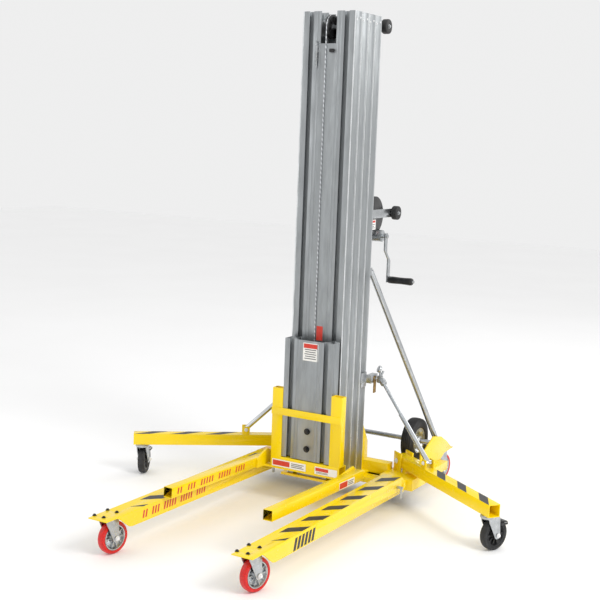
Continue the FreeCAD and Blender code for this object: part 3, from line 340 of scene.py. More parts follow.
def film(name, base, rough):
    """Printed vinyl film on enamel: flat, a little faded and scratched."""
    made, tree, shader, place = shader_tree(name)
    fade = remap(tree, noise(tree, place, per_mm(12), 5.0, 0.6), 0.4, 0.8)
    tone = mix_colours(tree, fade, base, mix_towards(base, 0.10))
    shade(tree, shader, tone, remap(tree, fade, 0.0, 1.0, rough, rough + 0.15),
          noise(tree, place, per_mm(2), 2.0), 0.02)
    return made


def mix_towards(colour, share):
    """A colour moved this share of the way to mid grey, as sun and dust do."""
    return tuple(channel * (1 - share) + 0.5 * share for channel in colour[:3]) + (1.0,)


FINISH = {}


class LIFT_OT_finishes(bpy.types.Operator):
    """Make the materials"""
    bl_idname = "lift.finishes"
    bl_label = "Finishes"

    def execute(self, context):
        tones = colours()
        FINISH.update({
            "yellow_enamel": yellow_enamel(),
            "mast_aluminium": mill_aluminium(),
            "pale_and_highlight_aluminium": pale_and_highlight_aluminium(),
            "zinc_plate": zinc_plate(),
            "chrome_rod": chrome_rod(),
            "steel_cable": wire_rope(),
            "slide_plastic": slide_plastic(),
            "black_plastic": black_moulding("black_nylon", tones.moulding, 0.32, 0.8, 0.03),
            "black_rubber": black_moulding("black_rubber", tones.rubber, 0.55, 1.2, 0.08),
            "brass_lever": brass_lever(),
            "red_polyurethane": red_polyurethane(),
            "black_film": film("black_film", tones.tape_black, 0.40),
            "red_film": film("red_film", tones.tape_red, 0.38),
            "white_film": film("white_film", tones.tape_white, 0.35),
            "grey_film": film("grey_film", linear("6C6C6E"), 0.40),
        })
        return {"FINISHED"}


# ---------------------------------------------------------------- mesh helpers

def new_mesh(bm, name="shape", normals=True):
    """A mesh from a bmesh, with doubles merged and faces turned outwards."""
    if normals:
        bmesh.ops.remove_doubles(bm, verts=bm.verts, dist=1e-6)
        bmesh.ops.recalc_face_normals(bm, faces=bm.faces)
    mesh = bpy.data.meshes.new(name)
    bm.to_mesh(mesh)
    bm.free()
    return mesh


def smooth(mesh, angle=32):
    """Smooth faces with sharp edges where they meet at more than this angle."""
    mesh.polygons.foreach_set("use_smooth", [True] * len(mesh.polygons))
    mesh.set_sharp_from_angle(angle=math.radians(angle))


def piece(name, mesh, body, finish, stands_for=(), angle=32):
    """A finished piece that rides on a body."""
    if finish is not None:
        mesh.materials.clear()
        mesh.materials.append(FINISH[finish])
    smooth(mesh, angle)
    made = bpy.data.objects.new(name, mesh)
    bpy.context.scene.collection.objects.link(made)
    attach(made, body)
    if stands_for:
        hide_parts(*stands_for)
    return made


def joined(*meshes):
    """Several meshes as one."""
    bm = bmesh.new()
    for mesh in meshes:
        bm.from_mesh(mesh)
    return new_mesh(bm, normals=False)


def softened(node, width, sharp=28):
    """A copy of a CAD node's mesh with its flat faces joined and its edges rounded."""
    bm = bmesh.new()
    bm.from_mesh(NODES[node].data)
    bmesh.ops.remove_doubles(bm, verts=bm.verts, dist=2e-6)
    bmesh.ops.dissolve_limit(bm, angle_limit=math.radians(1.0), verts=bm.verts, edges=bm.edges,
                             delimit={"NORMAL"})
    limit = math.radians(sharp)
    edges = [edge for edge in bm.edges
             if len(edge.link_faces) == 2 and edge.calc_face_angle(0) > limit]
    bmesh.ops.bevel(bm, geom=edges, offset=width, offset_type="OFFSET", segments=2, profile=0.5,
                    affect="EDGES", clamp_overlap=True, miter_outer="ARC")
    return new_mesh(bm, normals=False)


def refinish(node, width=None, finish=None, name=None):
    """A CAD node with rounded edges and its procedural finish."""
    slot = SLOT_OF[node]
    if width is None:
        target = NODES[node]
        target.data.materials.clear()
        target.data.materials.append(FINISH[finish or slot])
        return target
    return piece(name or node + "_body", softened(node, width), BODY_OF[node], finish or slot,
                 (node,))


def turned(mesh, matrix):
    mesh.transform(matrix)
    return mesh


def to_axis(axis):
    """Turns a shape made along +X to another direction."""
    return X_AXIS.rotation_difference(Vector(axis)).to_matrix().to_4x4()


def lathe(profile, centre=(0, 0, 0), axis=(1, 0, 0), steps=64, closed=False):
    """Turns a profile of (along, radius) in millimetres round an axis through a centre."""
    bm = bmesh.new()
    rings = []
    for step in range(steps):
        angle = math.tau * step / steps
        rings.append([bm.verts.new(mm(along, radius * math.cos(angle), radius * math.sin(angle)))
                      for along, radius in profile])
    last = len(profile) if closed else len(profile) - 1
    for step in range(steps):
        here, after = rings[step], rings[(step + 1) % steps]
        for index in range(last):
            other = (index + 1) % len(profile)
            bm.faces.new((here[index], here[other], after[other], after[index]))
    bmesh.ops.remove_doubles(bm, verts=bm.verts, dist=1e-7)
    mesh = new_mesh(bm)
    return turned(mesh, Matrix.Translation(Vector(centre)) @ to_axis(axis))


def slab(outline, thick, matrix=None, edge=0.0):
    """A plate in the XY plane padded by a thickness, millimetres, with rounded edges."""
    bm = bmesh.new()
    face = bm.faces.new([bm.verts.new(mm(x, y, 0)) for x, y in outline])
    top = bmesh.ops.extrude_face_region(bm, geom=[face])["geom"]
    shifted = [item for item in top if isinstance(item, bmesh.types.BMVert)]
    bmesh.ops.translate(bm, verts=shifted, vec=mm(0, 0, thick))
    bmesh.ops.recalc_face_normals(bm, faces=bm.faces)
    if edge:
        limit = math.radians(28)
        sharp = [item for item in bm.edges if item.calc_face_angle(0) > limit]
        bmesh.ops.bevel(bm, geom=sharp, offset=mm(edge), segments=2, affect="EDGES",
                        clamp_overlap=True)
    mesh = new_mesh(bm)
    return turned(mesh, matrix) if matrix else mesh


def box(low, high, edge=0.4):
    """A block between two corners in metres, with rounded edges in millimetres."""
    low, high = Vector(low), Vector(high)
    x, y, z = (high - low) * 1000
    return slab([(0, 0), (x, 0), (x, y), (0, y)], z, Matrix.Translation(low), edge)


def round_plate(wide, tall, corner, steps=5):
    """The outline of a plate with rounded corners, centred, in millimetres."""
    points = []
    for turn, (sx, sy) in enumerate(((1, 1), (-1, 1), (-1, -1), (1, -1))):
        cx, cy = sx * (wide / 2 - corner), sy * (tall / 2 - corner)
        for step in range(steps + 1):
            angle = math.radians(90 * turn + 90 * step / steps)
            points.append((cx + corner * math.cos(angle), cy + corner * math.sin(angle)))
    return points


def points_mesh(points, edges=()):
    mesh = bpy.data.meshes.new("points")
    mesh.from_pydata([tuple(p) for p in points], list(edges), [])
    return mesh


# ---------------------------------------------------------------- geometry node trees

def tree_with(name, inputs):
    """A Geometry Nodes tree with a geometry input, named sizes and a material."""
    tree = bpy.data.node_groups.new(name, "GeometryNodeTree")
    tree.interface.new_socket("Geometry", in_out="INPUT", socket_type="NodeSocketGeometry")
    for label, kind, default in inputs:
        socket = tree.interface.new_socket(label, in_out="INPUT", socket_type="NodeSocket" + kind)
        socket.default_value = default
    tree.interface.new_socket("Material", in_out="INPUT", socket_type="NodeSocketMaterial")
    tree.interface.new_socket("Geometry", in_out="OUTPUT", socket_type="NodeSocketGeometry")
    return tree, add(tree, "NodeGroupInput").outputs


def close_tree(tree, given, geometry):
    """Real geometry with its material, as the tree's result."""
    real = add(tree, "GeometryNodeRealizeInstances", {"Geometry": geometry})
    done = add(tree, "GeometryNodeSetMaterial", {"Geometry": real.outputs["Geometry"],
                                                 "Material": given["Material"]})
    add(tree, "NodeGroupOutput", {"Geometry": done.outputs["Geometry"]})
    return tree


def row_tree():
    """Copies of the given shape along a straight row."""
    tree, given = tree_with("Row", [("Count", "Int", 2), ("Step", "Vector", (0, 0, 0))])
    line = add(tree, "GeometryNodeMeshLine", {"Count": given["Count"], "Offset": given["Step"]})
    copies = add(tree, "GeometryNodeInstanceOnPoints",
                 {"Points": line.outputs["Mesh"], "Instance": given["Geometry"]})
    return close_tree(tree, given, copies.outputs["Instances"])


def ring_tree():
    """Copies of the given shape round an axis through a centre."""
    tree, given = tree_with("Ring", [("Count", "Int", 6), ("Centre", "Vector", (0, 0, 0)),
                                     ("Axis", "Vector", (1, 0, 0))])
    back = add(tree, "ShaderNodeVectorMath", {0: given["Centre"], "Scale": -1.0}, operation="SCALE")
    local = add(tree, "GeometryNodeTransform", {"Geometry": given["Geometry"],
                                                "Translation": back.outputs[0]})
    spots = add(tree, "GeometryNodePoints", {"Count": given["Count"], "Position": given["Centre"]})
    index = add(tree, "GeometryNodeInputIndex")
    share = add(tree, "ShaderNodeMath", {0: math.tau, 1: given["Count"]}, operation="DIVIDE")
    angle = add(tree, "ShaderNodeMath", {0: index.outputs[0], 1: share.outputs[0]},
                operation="MULTIPLY")
    turn = add(tree, "FunctionNodeAxisAngleToRotation", {"Axis": given["Axis"],
                                                         "Angle": angle.outputs[0]})
    copies = add(tree, "GeometryNodeInstanceOnPoints",
                 {"Points": spots.outputs["Points"], "Instance": local.outputs["Geometry"],
                  "Rotation": turn.outputs["Rotation"]})
    return close_tree(tree, given, copies.outputs["Instances"])


def bolt_tree():
    """A hex head on a washer, with the bolt's end standing proud, at every given point."""
    tree, given = tree_with("Bolts", [("Flats", "Float", 0.006), ("Axis", "Vector", (0, 0, 1))])

    def disc(sides, share, low, high):
        """A closed disc whose radius and heights are shares of the head's size."""
        radius = add(tree, "ShaderNodeMath", {0: given["Flats"], 1: share}, operation="MULTIPLY")
        deep = add(tree, "ShaderNodeMath", {0: given["Flats"], 1: high - low}, operation="MULTIPLY")
        made = add(tree, "GeometryNodeMeshCylinder", {"Vertices": sides, "Radius": radius.outputs[0],
                                                      "Depth": deep.outputs[0]})
        middle = add(tree, "ShaderNodeMath", {0: given["Flats"], 1: (low + high) / 2},
                     operation="MULTIPLY")
        lift = add(tree, "ShaderNodeCombineXYZ", {"Z": middle.outputs[0]})
        moved = add(tree, "GeometryNodeTransform", {"Geometry": made.outputs["Mesh"],
                                                    "Translation": lift.outputs[0]})
        return moved.outputs["Geometry"]

    whole = add(tree, "GeometryNodeJoinGeometry")
    for part in (disc(28, 1.35, -0.1, 0.16), disc(6, 1.0, 0.12, 0.82), disc(20, 0.55, 0.75, 1.05)):
        tree.links.new(part, whole.inputs["Geometry"])
    turn = add(tree, "FunctionNodeAlignRotationToVector", {"Vector": given["Axis"]}, axis="Z")
    copies = add(tree, "GeometryNodeInstanceOnPoints",
                 {"Points": given["Geometry"], "Instance": whole.outputs["Geometry"],
                  "Rotation": turn.outputs["Rotation"]})
    return close_tree(tree, given, copies.outputs["Instances"])


def tube_tree():
    """A round bar along a path, with its corners bent to a radius and its ends closed."""
    tree, given = tree_with("Tube", [("Radius", "Float", 0.004), ("Bend", "Float", 0.01)])
    path = add(tree, "GeometryNodeMeshToCurve", {"Mesh": given["Geometry"]})
    bent = add(tree, "GeometryNodeFilletCurve", {"Curve": path.outputs["Curve"], "Count": 8,
                                                 "Radius": given["Bend"]}, mode="POLY")
    round_face = add(tree, "GeometryNodeCurvePrimitiveCircle", {"Resolution": 20,
                                                                "Radius": given["Radius"]})
    solid = add(tree, "GeometryNodeCurveToMesh", {"Curve": bent.outputs["Curve"],
                                                  "Profile Curve": round_face.outputs["Curve"],
                                                  "Fill Caps": True})
    return close_tree(tree, given, solid.outputs["Mesh"])


def winding_tree():
    """A cable wound round a drum, side by side, from the given centre along X."""
    tree, given = tree_with("Winding", [("Turns", "Float", 8.0), ("Coil", "Float", 0.03),
                                        ("Wide", "Float", 0.05), ("Radius", "Float", 0.0025),
                                        ("Centre", "Vector", (0, 0, 0))])
    spiral = add(tree, "GeometryNodeCurveSpiral", {"Resolution": 32, "Rotations": given["Turns"],
                                                   "Start Radius": given["Coil"],
                                                   "End Radius": given["Coil"],
                                                   "Height": given["Wide"]})
    round_face = add(tree, "GeometryNodeCurvePrimitiveCircle", {"Resolution": 8,
                                                                "Radius": given["Radius"]})
    solid = add(tree, "GeometryNodeCurveToMesh", {"Curve": spiral.outputs["Curve"],
                                                  "Profile Curve": round_face.outputs["Curve"],
                                                  "Fill Caps": True})
    moved = add(tree, "GeometryNodeTransform", {"Geometry": solid.outputs["Mesh"],
                                                "Translation": given["Centre"],
                                                "Rotation": (0, math.pi / 2, 0)})
    return close_tree(tree, given, moved.outputs["Geometry"])


TREES = {}


def grow(kind, mesh, finish, **values):
    """Runs a tree on a mesh and returns the result as a plain mesh."""
    if kind not in TREES:
        TREES[kind] = {"row": row_tree, "ring": ring_tree, "bolt": bolt_tree, "tube": tube_tree,
                       "winding": winding_tree}[kind]()
    tree = TREES[kind]
    identifiers = {item.name: item.identifier for item in tree.interface.items_tree
                   if item.in_out == "INPUT"}
    carrier = bpy.data.objects.new("carrier", mesh)
    bpy.context.scene.collection.objects.link(carrier)
    modifier = carrier.modifiers.new("Tree", "NODES")
    modifier.node_group = tree
    modifier[identifiers["Material"]] = FINISH[finish]
    for name, value in values.items():
        if isinstance(value, (Vector, tuple)):
            value = [float(part) for part in value]
        modifier[identifiers[name]] = value
    graph = bpy.context.evaluated_depsgraph_get()
    result = bpy.data.meshes.new_from_object(carrier.evaluated_get(graph))
    carrier.modifiers.remove(modifier)
    bpy.data.objects.remove(carrier)
    return result


def bolts(points, axis, flats, finish="zinc_plate"):
    return grow("bolt", points_mesh(points), finish, Flats=mm(flats), Axis=Vector(axis))


def tube(points, radius, bend=8.0, finish="zinc_plate"):
    """A bent round bar through points in metres; radius and bend in millimetres."""
    edges = [(index, index + 1) for index in range(len(points) - 1)]
    return grow("tube", points_mesh(points, edges), finish, Radius=mm(radius), Bend=mm(bend))


def ring(mesh, count, centre, axis, finish):
    return grow("ring", mesh, finish, Count=count, Centre=Vector(centre), Axis=Vector(axis))


# ---------------------------------------------------------------- mast

MAST_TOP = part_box("mast_section_1")[1].z
SHEAVE_HIGH = at_joint("sheave_4_turn").z
SHEAVES = {number: at_joint("sheave_%d_turn" % number) for number in (1, 2, 3, 4)}
SECTIONS = {1: "chassis", 2: "section_2", 3: "section_3", 4: "section_4"}
MAST_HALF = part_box("mast_section_4")[1].x
STAGE = SHEAVES[3].y - SHEAVES[4].y
STROKE = JOINTS["section_2_lift"]["range_m"][1]
WRAP_RADIUS = 0.048


def highlight_corner_bead(foot, low, top):
    """A rounded bead along a section's corner, in short lengths that shade evenly; its near-white finish is a
    painted highlight.
    """
    steps = 12
    line = [Vector((foot.x, foot.y, low + mm(0.5) + (top - low - mm(1)) * step / steps))
            for step in range(steps + 1)]
    return tube(line, 2.7, 0.0, "pale_and_highlight_aluminium")


class LIFT_OT_mast(bpy.types.Operator):
    """Round the mast extrusions and add their bolts and slide pads"""
    bl_idname = "lift.mast"
    bl_label = "Mast sections"

    def execute(self, context):
        edge = sizes().mast_edge
        for number, body in SECTIONS.items():
            node = "mast_section_%d" % number
            refinish(node, edge)
            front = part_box(node)[0].y
            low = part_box(node)[0].z
            # near-white beads on the corners: a painted highlight for the shine of the rounded extrusion corners
            highlight_beads = [highlight_corner_bead(Vector((side * (MAST_HALF - mm(2.4)), front + mm(across), 0)), low,
                               MAST_TOP)
                     for side in (-1, 1) for across in (2.6, 52.2)]
            piece("section_%d_beads" % number, joined(*highlight_beads), body, "pale_and_highlight_aluminium")
            side_bolts = []
            for side in (-1, 1):
                for across, down in ((12, 34), (42, 26)):
                    side_bolts.append((side * (MAST_HALF - mm(1.2)), front + mm(across),
                                       MAST_TOP - mm(down)))
            right = [point for point in side_bolts if point[0] > 0]
            left = [point for point in side_bolts if point[0] < 0]
            piece("section_%d_bolts" % number,
                  joined(bolts(right, (1, 0, 0), 3.2), bolts(left, (-1, 0, 0), 3.2)),
                  body, None)
        for node in ("slide_pads_2", "slide_pads_3", "slide_pads_4", "carriage_pads"):
            refinish(node, mm(0.8))
        self.anchor()
        return {"FINISHED"}

    def anchor(self):
        """The eye bolt and its coil beside the front window, and the clip below it."""
        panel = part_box("mast_section_4")[0].y + mm(1.5)
        head = Vector((mm(-50), panel, MAST_TOP - mm(138)))
        stem = tube([head + mm(0, -6, 0), head + mm(0, -6, -92)], 2.6, 0.0)
        coil = [head + mm(7 * math.cos(turn * 0.7), -8 + 6 * math.sin(turn * 0.7), -26 - turn * 0.62)
                for turn in range(86)]
        spring = tube(coil, 1.1, 0.0)
        eye = lathe([(-3, 4.5), (-3, 10), (3, 10), (3, 4.5)], head + mm(0, -5, 6), (1, 0, 0), 32,
                    closed=True)
        nuts = bolts([tuple(head + mm(0, 0, -2))], (0, -1, 0), 7.0)
        piece("anchor_fitting", joined(stem, spring, eye, nuts), SECTIONS[4], "zinc_plate")
        low = Vector((mm(8), panel, MAST_TOP - mm(166)))
        clip = box(low + mm(0, -7, 0), low + mm(22, 0, 14), 1.5)
        piece("anchor_clip", clip, SECTIONS[4], "black_plastic")


class LIFT_OT_sheaves(bpy.types.Operator):
    """Turn the sheaves with a rounded rope groove, ribs and a bearing bush"""
    bl_idname = "lift.sheaves"
    bl_label = "Sheaves"

    def execute(self, context):
        for number, centre in SHEAVES.items():
            half = 7.0
            groove = [(half - 2.6 - 1.6 * step, 49.2 - 3.8 * math.sin(math.pi * step / 5.5))
                      for step in range(1, 5)]
            profile = [(-half, 8.6), (-half, 17), (-3.5, 18.5), (-3.5, 38), (-half, 41), (-half, 49),
                       (-half + 0.8, 50)]
            profile += [(-x, r) for x, r in [(half - 2.2, 50)]]
            profile += [(-x, r) for x, r in groove]
            profile += [(half - 2.2, 50), (half - 0.8, 50), (half, 49), (half, 41), (3.5, 38),
                        (3.5, 18.5), (half, 17), (half, 8.6)]
            wheel = lathe(profile, centre, closed=True, steps=72)
            rib = box(centre + mm(-6, 17, -1.5), centre + mm(6, 40, 1.5), 0.4)
            ribs = ring(rib, 8, centre, (1, 0, 0), "black_plastic")
            piece("sheave_%d_wheel" % number, joined(wheel, ribs), "sheave_%d" % number,
                  "black_plastic", stands_for=("sheave_%d" % number,))
            bush = lathe([(-7.6, 8.1), (-7.6, 12.5), (7.6, 12.5), (7.6, 8.1)], centre, closed=True)
            piece("sheave_%d_bush" % number, bush, "sheave_%d" % number, "zinc_plate")
        return {"FINISHED"}


def wrap_points(centre, low_front, low_back, steps=16):
    """A cable's line over a sheave, from its front run to its rear run."""
    points = []
    if low_front is not None:
        points.append(Vector((centre.x, centre.y - WRAP_RADIUS, low_front)))
    for step in range(steps + 1):
        angle = math.pi * step / steps
        points.append(centre + Vector((0, -WRAP_RADIUS * math.cos(angle),
                                       WRAP_RADIUS * math.sin(angle))))
    points.append(Vector((centre.x, centre.y + WRAP_RADIUS, low_back)))
    return points


class LIFT_OT_cables(bpy.types.Operator):
    """Lay the wire ropes over the sheaves, with their end fittings"""
    bl_idname = "lift.cables"
    bl_label = "Cables"

    def execute(self, context):
        radius = sizes().cable * 1000
        ends = {1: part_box("mast_section_2")[0].z + mm(60), 2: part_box("mast_section_3")[0].z + mm(60),
                3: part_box("mast_section_4")[0].z + mm(60), 4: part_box("lift_cable")[0].z}
        drum = at_joint("drum_turn")
        for number, centre in SHEAVES.items():
            body = SECTIONS[number]
            # the rear run hangs inside the section behind it, long enough for the full stroke
            low = drum.z if number == 1 else centre.z - STROKE - mm(70)
            over = tube(wrap_points(centre, None, low), radius, 0.0, "steel_cable")
            stands = {1: ("winch_cable",), 4: ("lift_cable",)}.get(number, ())
            piece("cable_%d_over_sheave" % number, over, body, "steel_cable", stands_for=stands)
            top = Vector((centre.x, centre.y - WRAP_RADIUS, centre.z))
            steps = 24
            front = [top.lerp(Vector((top.x, top.y, ends[number])), step / steps)
                     for step in range(steps + 1)]
            run = tube(front, radius, 0.0, "steel_cable")
            made = piece("cable_%d_front_run" % number, run, body, "steel_cable")
            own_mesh(made)
            below = {1: "section_2", 2: "section_3", 3: "section_4", 4: "carriage"}[number]
            foot = Vector((top.x, top.y, ends[number]))
            ferrule = lathe([(-16, 2.6), (-15, 5.2), (15, 5.2), (18, 2.6)], foot, (0, 0, 1), 24)
            piece("cable_%d_ferrule" % number, ferrule, below, "zinc_plate")
        return {"FINISHED"}


# ---------------------------------------------------------------- labels

def sheet_on(plane, corner, turn=0.0):
    """A matrix that lays an XY sheet on the front, side or top of the lift."""
    turned_by = {"front": Matrix.Rotation(math.pi / 2, 4, "X"),
                 "right": Matrix.Rotation(math.pi / 2, 4, "Z") @ Matrix.Rotation(math.pi / 2, 4, "X"),
                 "left": Matrix.Rotation(-math.pi / 2, 4, "Z") @ Matrix.Rotation(math.pi / 2, 4, "X"),
                 "top": Matrix.Identity(4)}[plane]
    return Matrix.Translation(Vector(corner)) @ turned_by @ Matrix.Rotation(turn, 4, "Z")


def label(name, body, matrix, wide, tall, red, lines):
    """A white label with a red block and rows of grey bars, corner at the matrix's origin."""
    thick = sizes().tape * 1000
    ground = slab([(x + wide / 2, y + tall / 2) for x, y in round_plate(wide, tall, 2.0)], thick,
                  matrix)
    piece(name + "_ground", ground, body, "white_film")
    x0, y0, x1, y1 = red
    block = slab([(x0, y0), (x1, y0), (x1, y1), (x0, y1)], thick * 1.6, matrix)
    piece(name + "_block", block, body, "red_film")
    rows = []
    for x, y, long, high in lines:
        rows.append(slab([(x, y), (x + long, y), (x + long, y + high), (x, y + high)], thick * 1.6,
                         matrix))
    piece(name + "_bars", joined(*rows), body, "grey_film")


# ---------------------------------------------------------------- carriage

CARRIAGE_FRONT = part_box("carriage_section")[0].y
CARRIAGE_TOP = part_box("carriage_section")[1].z


class LIFT_OT_carriage(bpy.types.Operator):
    """Round the carriage and its frame, and add its bolts and labels"""
    bl_idname = "lift.carriage"
    bl_label = "Carriage"

    def execute(self, context):
        refinish("carriage_section", sizes().mast_edge)
        refinish("carriage_frame", sizes().tube_edge)
        refinish("left_fork", sizes().tube_edge)
        refinish("right_fork", sizes().tube_edge)
        front = CARRIAGE_FRONT + mm(1.5)
        heads = bolts([(mm(6), front, mm(258)), (mm(6), front, mm(335))], (0, -1, 0), 10.5,
                      "black_plastic")
        piece("carriage_bolts", heads, "carriage", None)
        flat = sheet_on("front", (mm(-28), front, CARRIAGE_TOP - mm(86)))
        bars = [(8 + 3 * (row % 2), 8 + 9.5 * row, 56 - 6 * (row % 2), 4.0) for row in range(5)]
        label("carriage_label", "carriage", flat, 74, 76, (3, 54, 71, 73), bars)
        sill_front = CARRIAGE_FRONT - mm(1.5)
        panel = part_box("mast_section_4")[0].y + mm(1.5)
        tape = sheet_on("front", (mm(-3), panel, CARRIAGE_TOP - mm(6)))
        strip = slab([(0, 0), (30, 0), (30, 62), (0, 62)], sizes().tape * 1000, tape)
        piece("mast_tape", strip, SECTIONS[4], "red_film")
        low = sheet_on("front", (mm(-160), sill_front, mm(160)))
        label("sill_label_left", "carriage", low, 168, 32, (4, 5, 88, 27),
              [(96, 7 + 7 * row, 62 - 8 * (row % 2), 3.4) for row in range(3)])
        low = sheet_on("front", (mm(52), sill_front, mm(160)))
        label("sill_label_right", "carriage", low, 108, 32, (4, 14, 66, 28),
              [(8, 4 + 4.5 * row, 56, 2.2) for row in range(2)])
        return {"FINISHED"}


FORK_TILT = math.radians(1.6)


# ---------------------------------------------------------------- legs and outriggers

class LIFT_OT_legs(bpy.types.Operator):
    """Round the front legs and lay their hazard stripes"""
    bl_idname = "lift.legs"
    bl_label = "Front legs"

    def execute(self, context):
        group = sizes()
        for name, side in SIDES:
            node = name + "_front_leg"
            low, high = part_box(node)
            refinish(node, group.tube_edge)
            refinish(name + "_leg_pin", group.fine_edge)
            pitch, long = group.leg_stripe_pitch, group.leg_stripe_wide * 1000
            # slanted bands that run from the leg's middle to its right edge
            start = Vector((low.x + mm(21), low.y + mm(278), high.z - mm(0.1)))
            wide, slant = 60, 62
            outline = [(0, 0), (wide, slant), (wide, slant + long), (0, long)]
            thick = group.tape * 1000 + 0.1
            band = slab(outline, thick, Matrix.Translation(start))
            rows = grow("row", band, "black_film", Count=6, Step=(0, pitch, 0))
            tip = slab([(wide * 0.35, 0), (wide, slant * 0.5), (wide, slant * 0.5 + 34)], thick,
                       Matrix.Translation(start + mm(0, -88, 0)))
            piece(name + "_leg_stripes", joined(rows, tip), name + "_front_leg", "black_film")
            heads = [(low.x + mm(24 + dx), mm(dy) + low.y + mm(70), high.z)
                     for dx in (-22.2, 22.2) for dy in (-37.4, 37.4)]
            piece(name + "_plate_bolts", bolts(heads, (0, 0, 1), 6.0, "black_plastic"),
                  name + "_front_leg", None)
        return {"FINISHED"}


OUTRIGGER_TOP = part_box("left_outrigger")[0].z + mm(51)


def outrigger_direction(name):
    """The way an outrigger points, away from its fold pin."""
    way = at_joint(name + "_outrigger_caster_swivel") - at_joint(name + "_outrigger_fold")
    way.z = 0
    return way.normalized()


class LIFT_OT_outriggers(bpy.types.Operator):
    """Round the outriggers and braces and lay the black blocks on top"""
    bl_idname = "lift.outriggers"
    bl_label = "Outriggers"

    def execute(self, context):
        group = sizes()
        for name, side in SIDES:
            body = name + "_outrigger"
            refinish(body, group.tube_edge)
            refinish(name + "_brace", group.fine_edge)
            refinish(name + "_brace_lever", group.fine_edge)
            along = outrigger_direction(name)
            across = Vector((-along.y, along.x, 0))
            root = at_joint(name + "_outrigger_fold") - along * mm(25)
            top = OUTRIGGER_TOP - mm(0.1)
            turn = Matrix((along, across, Z_AXIS)).transposed().to_4x4()
            start = root + along * mm(360)
            start.z = top
            # each band leans back towards the fold pin on the side that faces the rear
            half, long, lean = 24.4 * side, 68, 84
            block = slab([(0, -half), (long, -half), (long - lean, half), (-lean, half)],
                         group.tape * 1000 + 0.1, Matrix.Translation(start) @ turn)
            blocks = grow("row", block, "black_film", Count=3, Step=along * mm(163))
            piece(name + "_outrigger_blocks", blocks, body, "black_film")
            self.clamp(name, side)
            foot = at_joint(name + "_brace_swing")
            piece(name + "_brace_foot_bolts",
                  joined(bolts([foot + across * mm(24)], across, 6.5),
                         bolts([foot - across * mm(24)], -across, 6.5)), body, None)
            pin = at_joint(name + "_outrigger_fold")
            piece(name + "_fold_bolts",
                  joined(bolts([pin + across * mm(35)], across, 8.5),
                         bolts([pin - across * mm(35)], -across, 8.5)), "chassis", None)
        return {"FINISHED"}

    def clamp(self, name, side):
        """The cast clamp on the mast that holds the brace's rod, with its round knob."""
        rod_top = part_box(name + "_brace")[1].z
        lever = at_joint(name + "_brace_lever_tilt")
        head = Vector((lever.x + side * mm(15), lever.y + mm(26), rod_top - mm(6)))
        foot = at_joint(name + "_brace_swing")
        along = (foot - head).normalized()
        # the clamp sits down the rod from the lever, so that the lever can tilt past it
        body = lathe([(-13, 9.2), (-13, 13), (-9, 15), (11, 15), (15, 12), (15, 9.2)],
                     head + along * mm(22), along, 40, closed=True)
        ear = box(head + mm(-10 if side > 0 else -9, -20, -20), head + mm(9 if side > 0 else 10, 10, 12),
                  3.0)
        stud = tube([head + mm(0, 0, 6), head + mm(side * 10, 6, 32)], 5, 0.0)
        knob = lathe([(-7, 0.01), (-7, 13), (-4, 16), (4, 16), (7, 13), (9, 0.01)],
                     head + mm(-side * 6, -4, 40), (-side * 0.7, -0.6, 0.4), 40)
        stem = tube([head + mm(0, 0, 8), head + mm(-side * 6, -4, 38)], 5, 0.0)
        bar = tube([head + along * mm(40), head - along * mm(4)], 8.6, 0.0, "chrome_rod")
        piece(name + "_clamp", joined(body, ear, stud, stem), "chassis", "zinc_plate")
        piece(name + "_clamp_knob", knob, "chassis", "zinc_plate")
        piece(name + "_clamp_rod_end", bar, "chassis", "chrome_rod")


def slanted_bars(words, tall, stroke, lean, gap, matrix, thick):
    """Rows of slanted bars in groups, a generic stand-in for painted markings."""
    bars, x = [], 0.0
    for count in words:
        for bar in range(count):
            bars.append(slab([(x, 0), (x + stroke, 0), (x + stroke + lean, tall), (x + lean, tall)],
                             thick, matrix))
            x += stroke + gap
        x += 3 * gap
    return joined(*bars)


class LIFT_OT_markings(bpy.types.Operator):
    """Lay the painted bars on the sides of the legs and forks"""
    bl_idname = "lift.markings"
    bl_label = "Markings"

    def execute(self, context):
        thick = sizes().tape * 1000
        low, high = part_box("right_front_leg")
        side = sheet_on("right", (high.x, low.y + mm(272), low.z + mm(14)))
        piece("right_leg_bars", slanted_bars((6,), 46, 17, 13, 9, side, thick), "right_front_leg",
              "black_film")
        low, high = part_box("left_front_leg")
        side = sheet_on("right", (high.x, low.y + mm(212), low.z + mm(26)))
        piece("left_leg_bars", slanted_bars((2, 3, 5, 5, 4), 30, 9, 6, 8, side, thick),
              "left_front_leg", "red_film")
        low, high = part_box("left_fork")
        tilt = -FORK_TILT
        side = sheet_on("right", (high.x, low.y + mm(34), high.z - mm(31.5)), tilt)
        piece("left_fork_bars", slanted_bars((2, 3, 5, 5, 4), 24, 8.5, 5, 10.5, side, thick),
              "carriage", "red_film")
        low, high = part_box("right_fork")
        side = sheet_on("right", (high.x, low.y + mm(520), high.z - mm(54)), tilt)
        label("right_fork_label", "carriage", side, 132, 30, (3, 3, 70, 27),
              [(76, 6 + 7 * row, 48 - 6 * (row % 2), 3.4) for row in range(3)])
        return {"FINISHED"}


# ---------------------------------------------------------------- base

class LIFT_OT_base(bpy.types.Operator):
    """Round the welded base, the stays and the transport axle"""
    bl_idname = "lift.base"
    bl_label = "Base"

    def execute(self, context):
        group = sizes()
        refinish("base_frame", group.tube_edge)
        refinish("rear_stays", group.fine_edge)
        refinish("transport_axle", group.fine_edge)
        return {"FINISHED"}


# ---------------------------------------------------------------- casters

CASTERS = ["%s_%s" % (name, spot) for name, _ in SIDES for spot in ("front", "rear", "outrigger")]


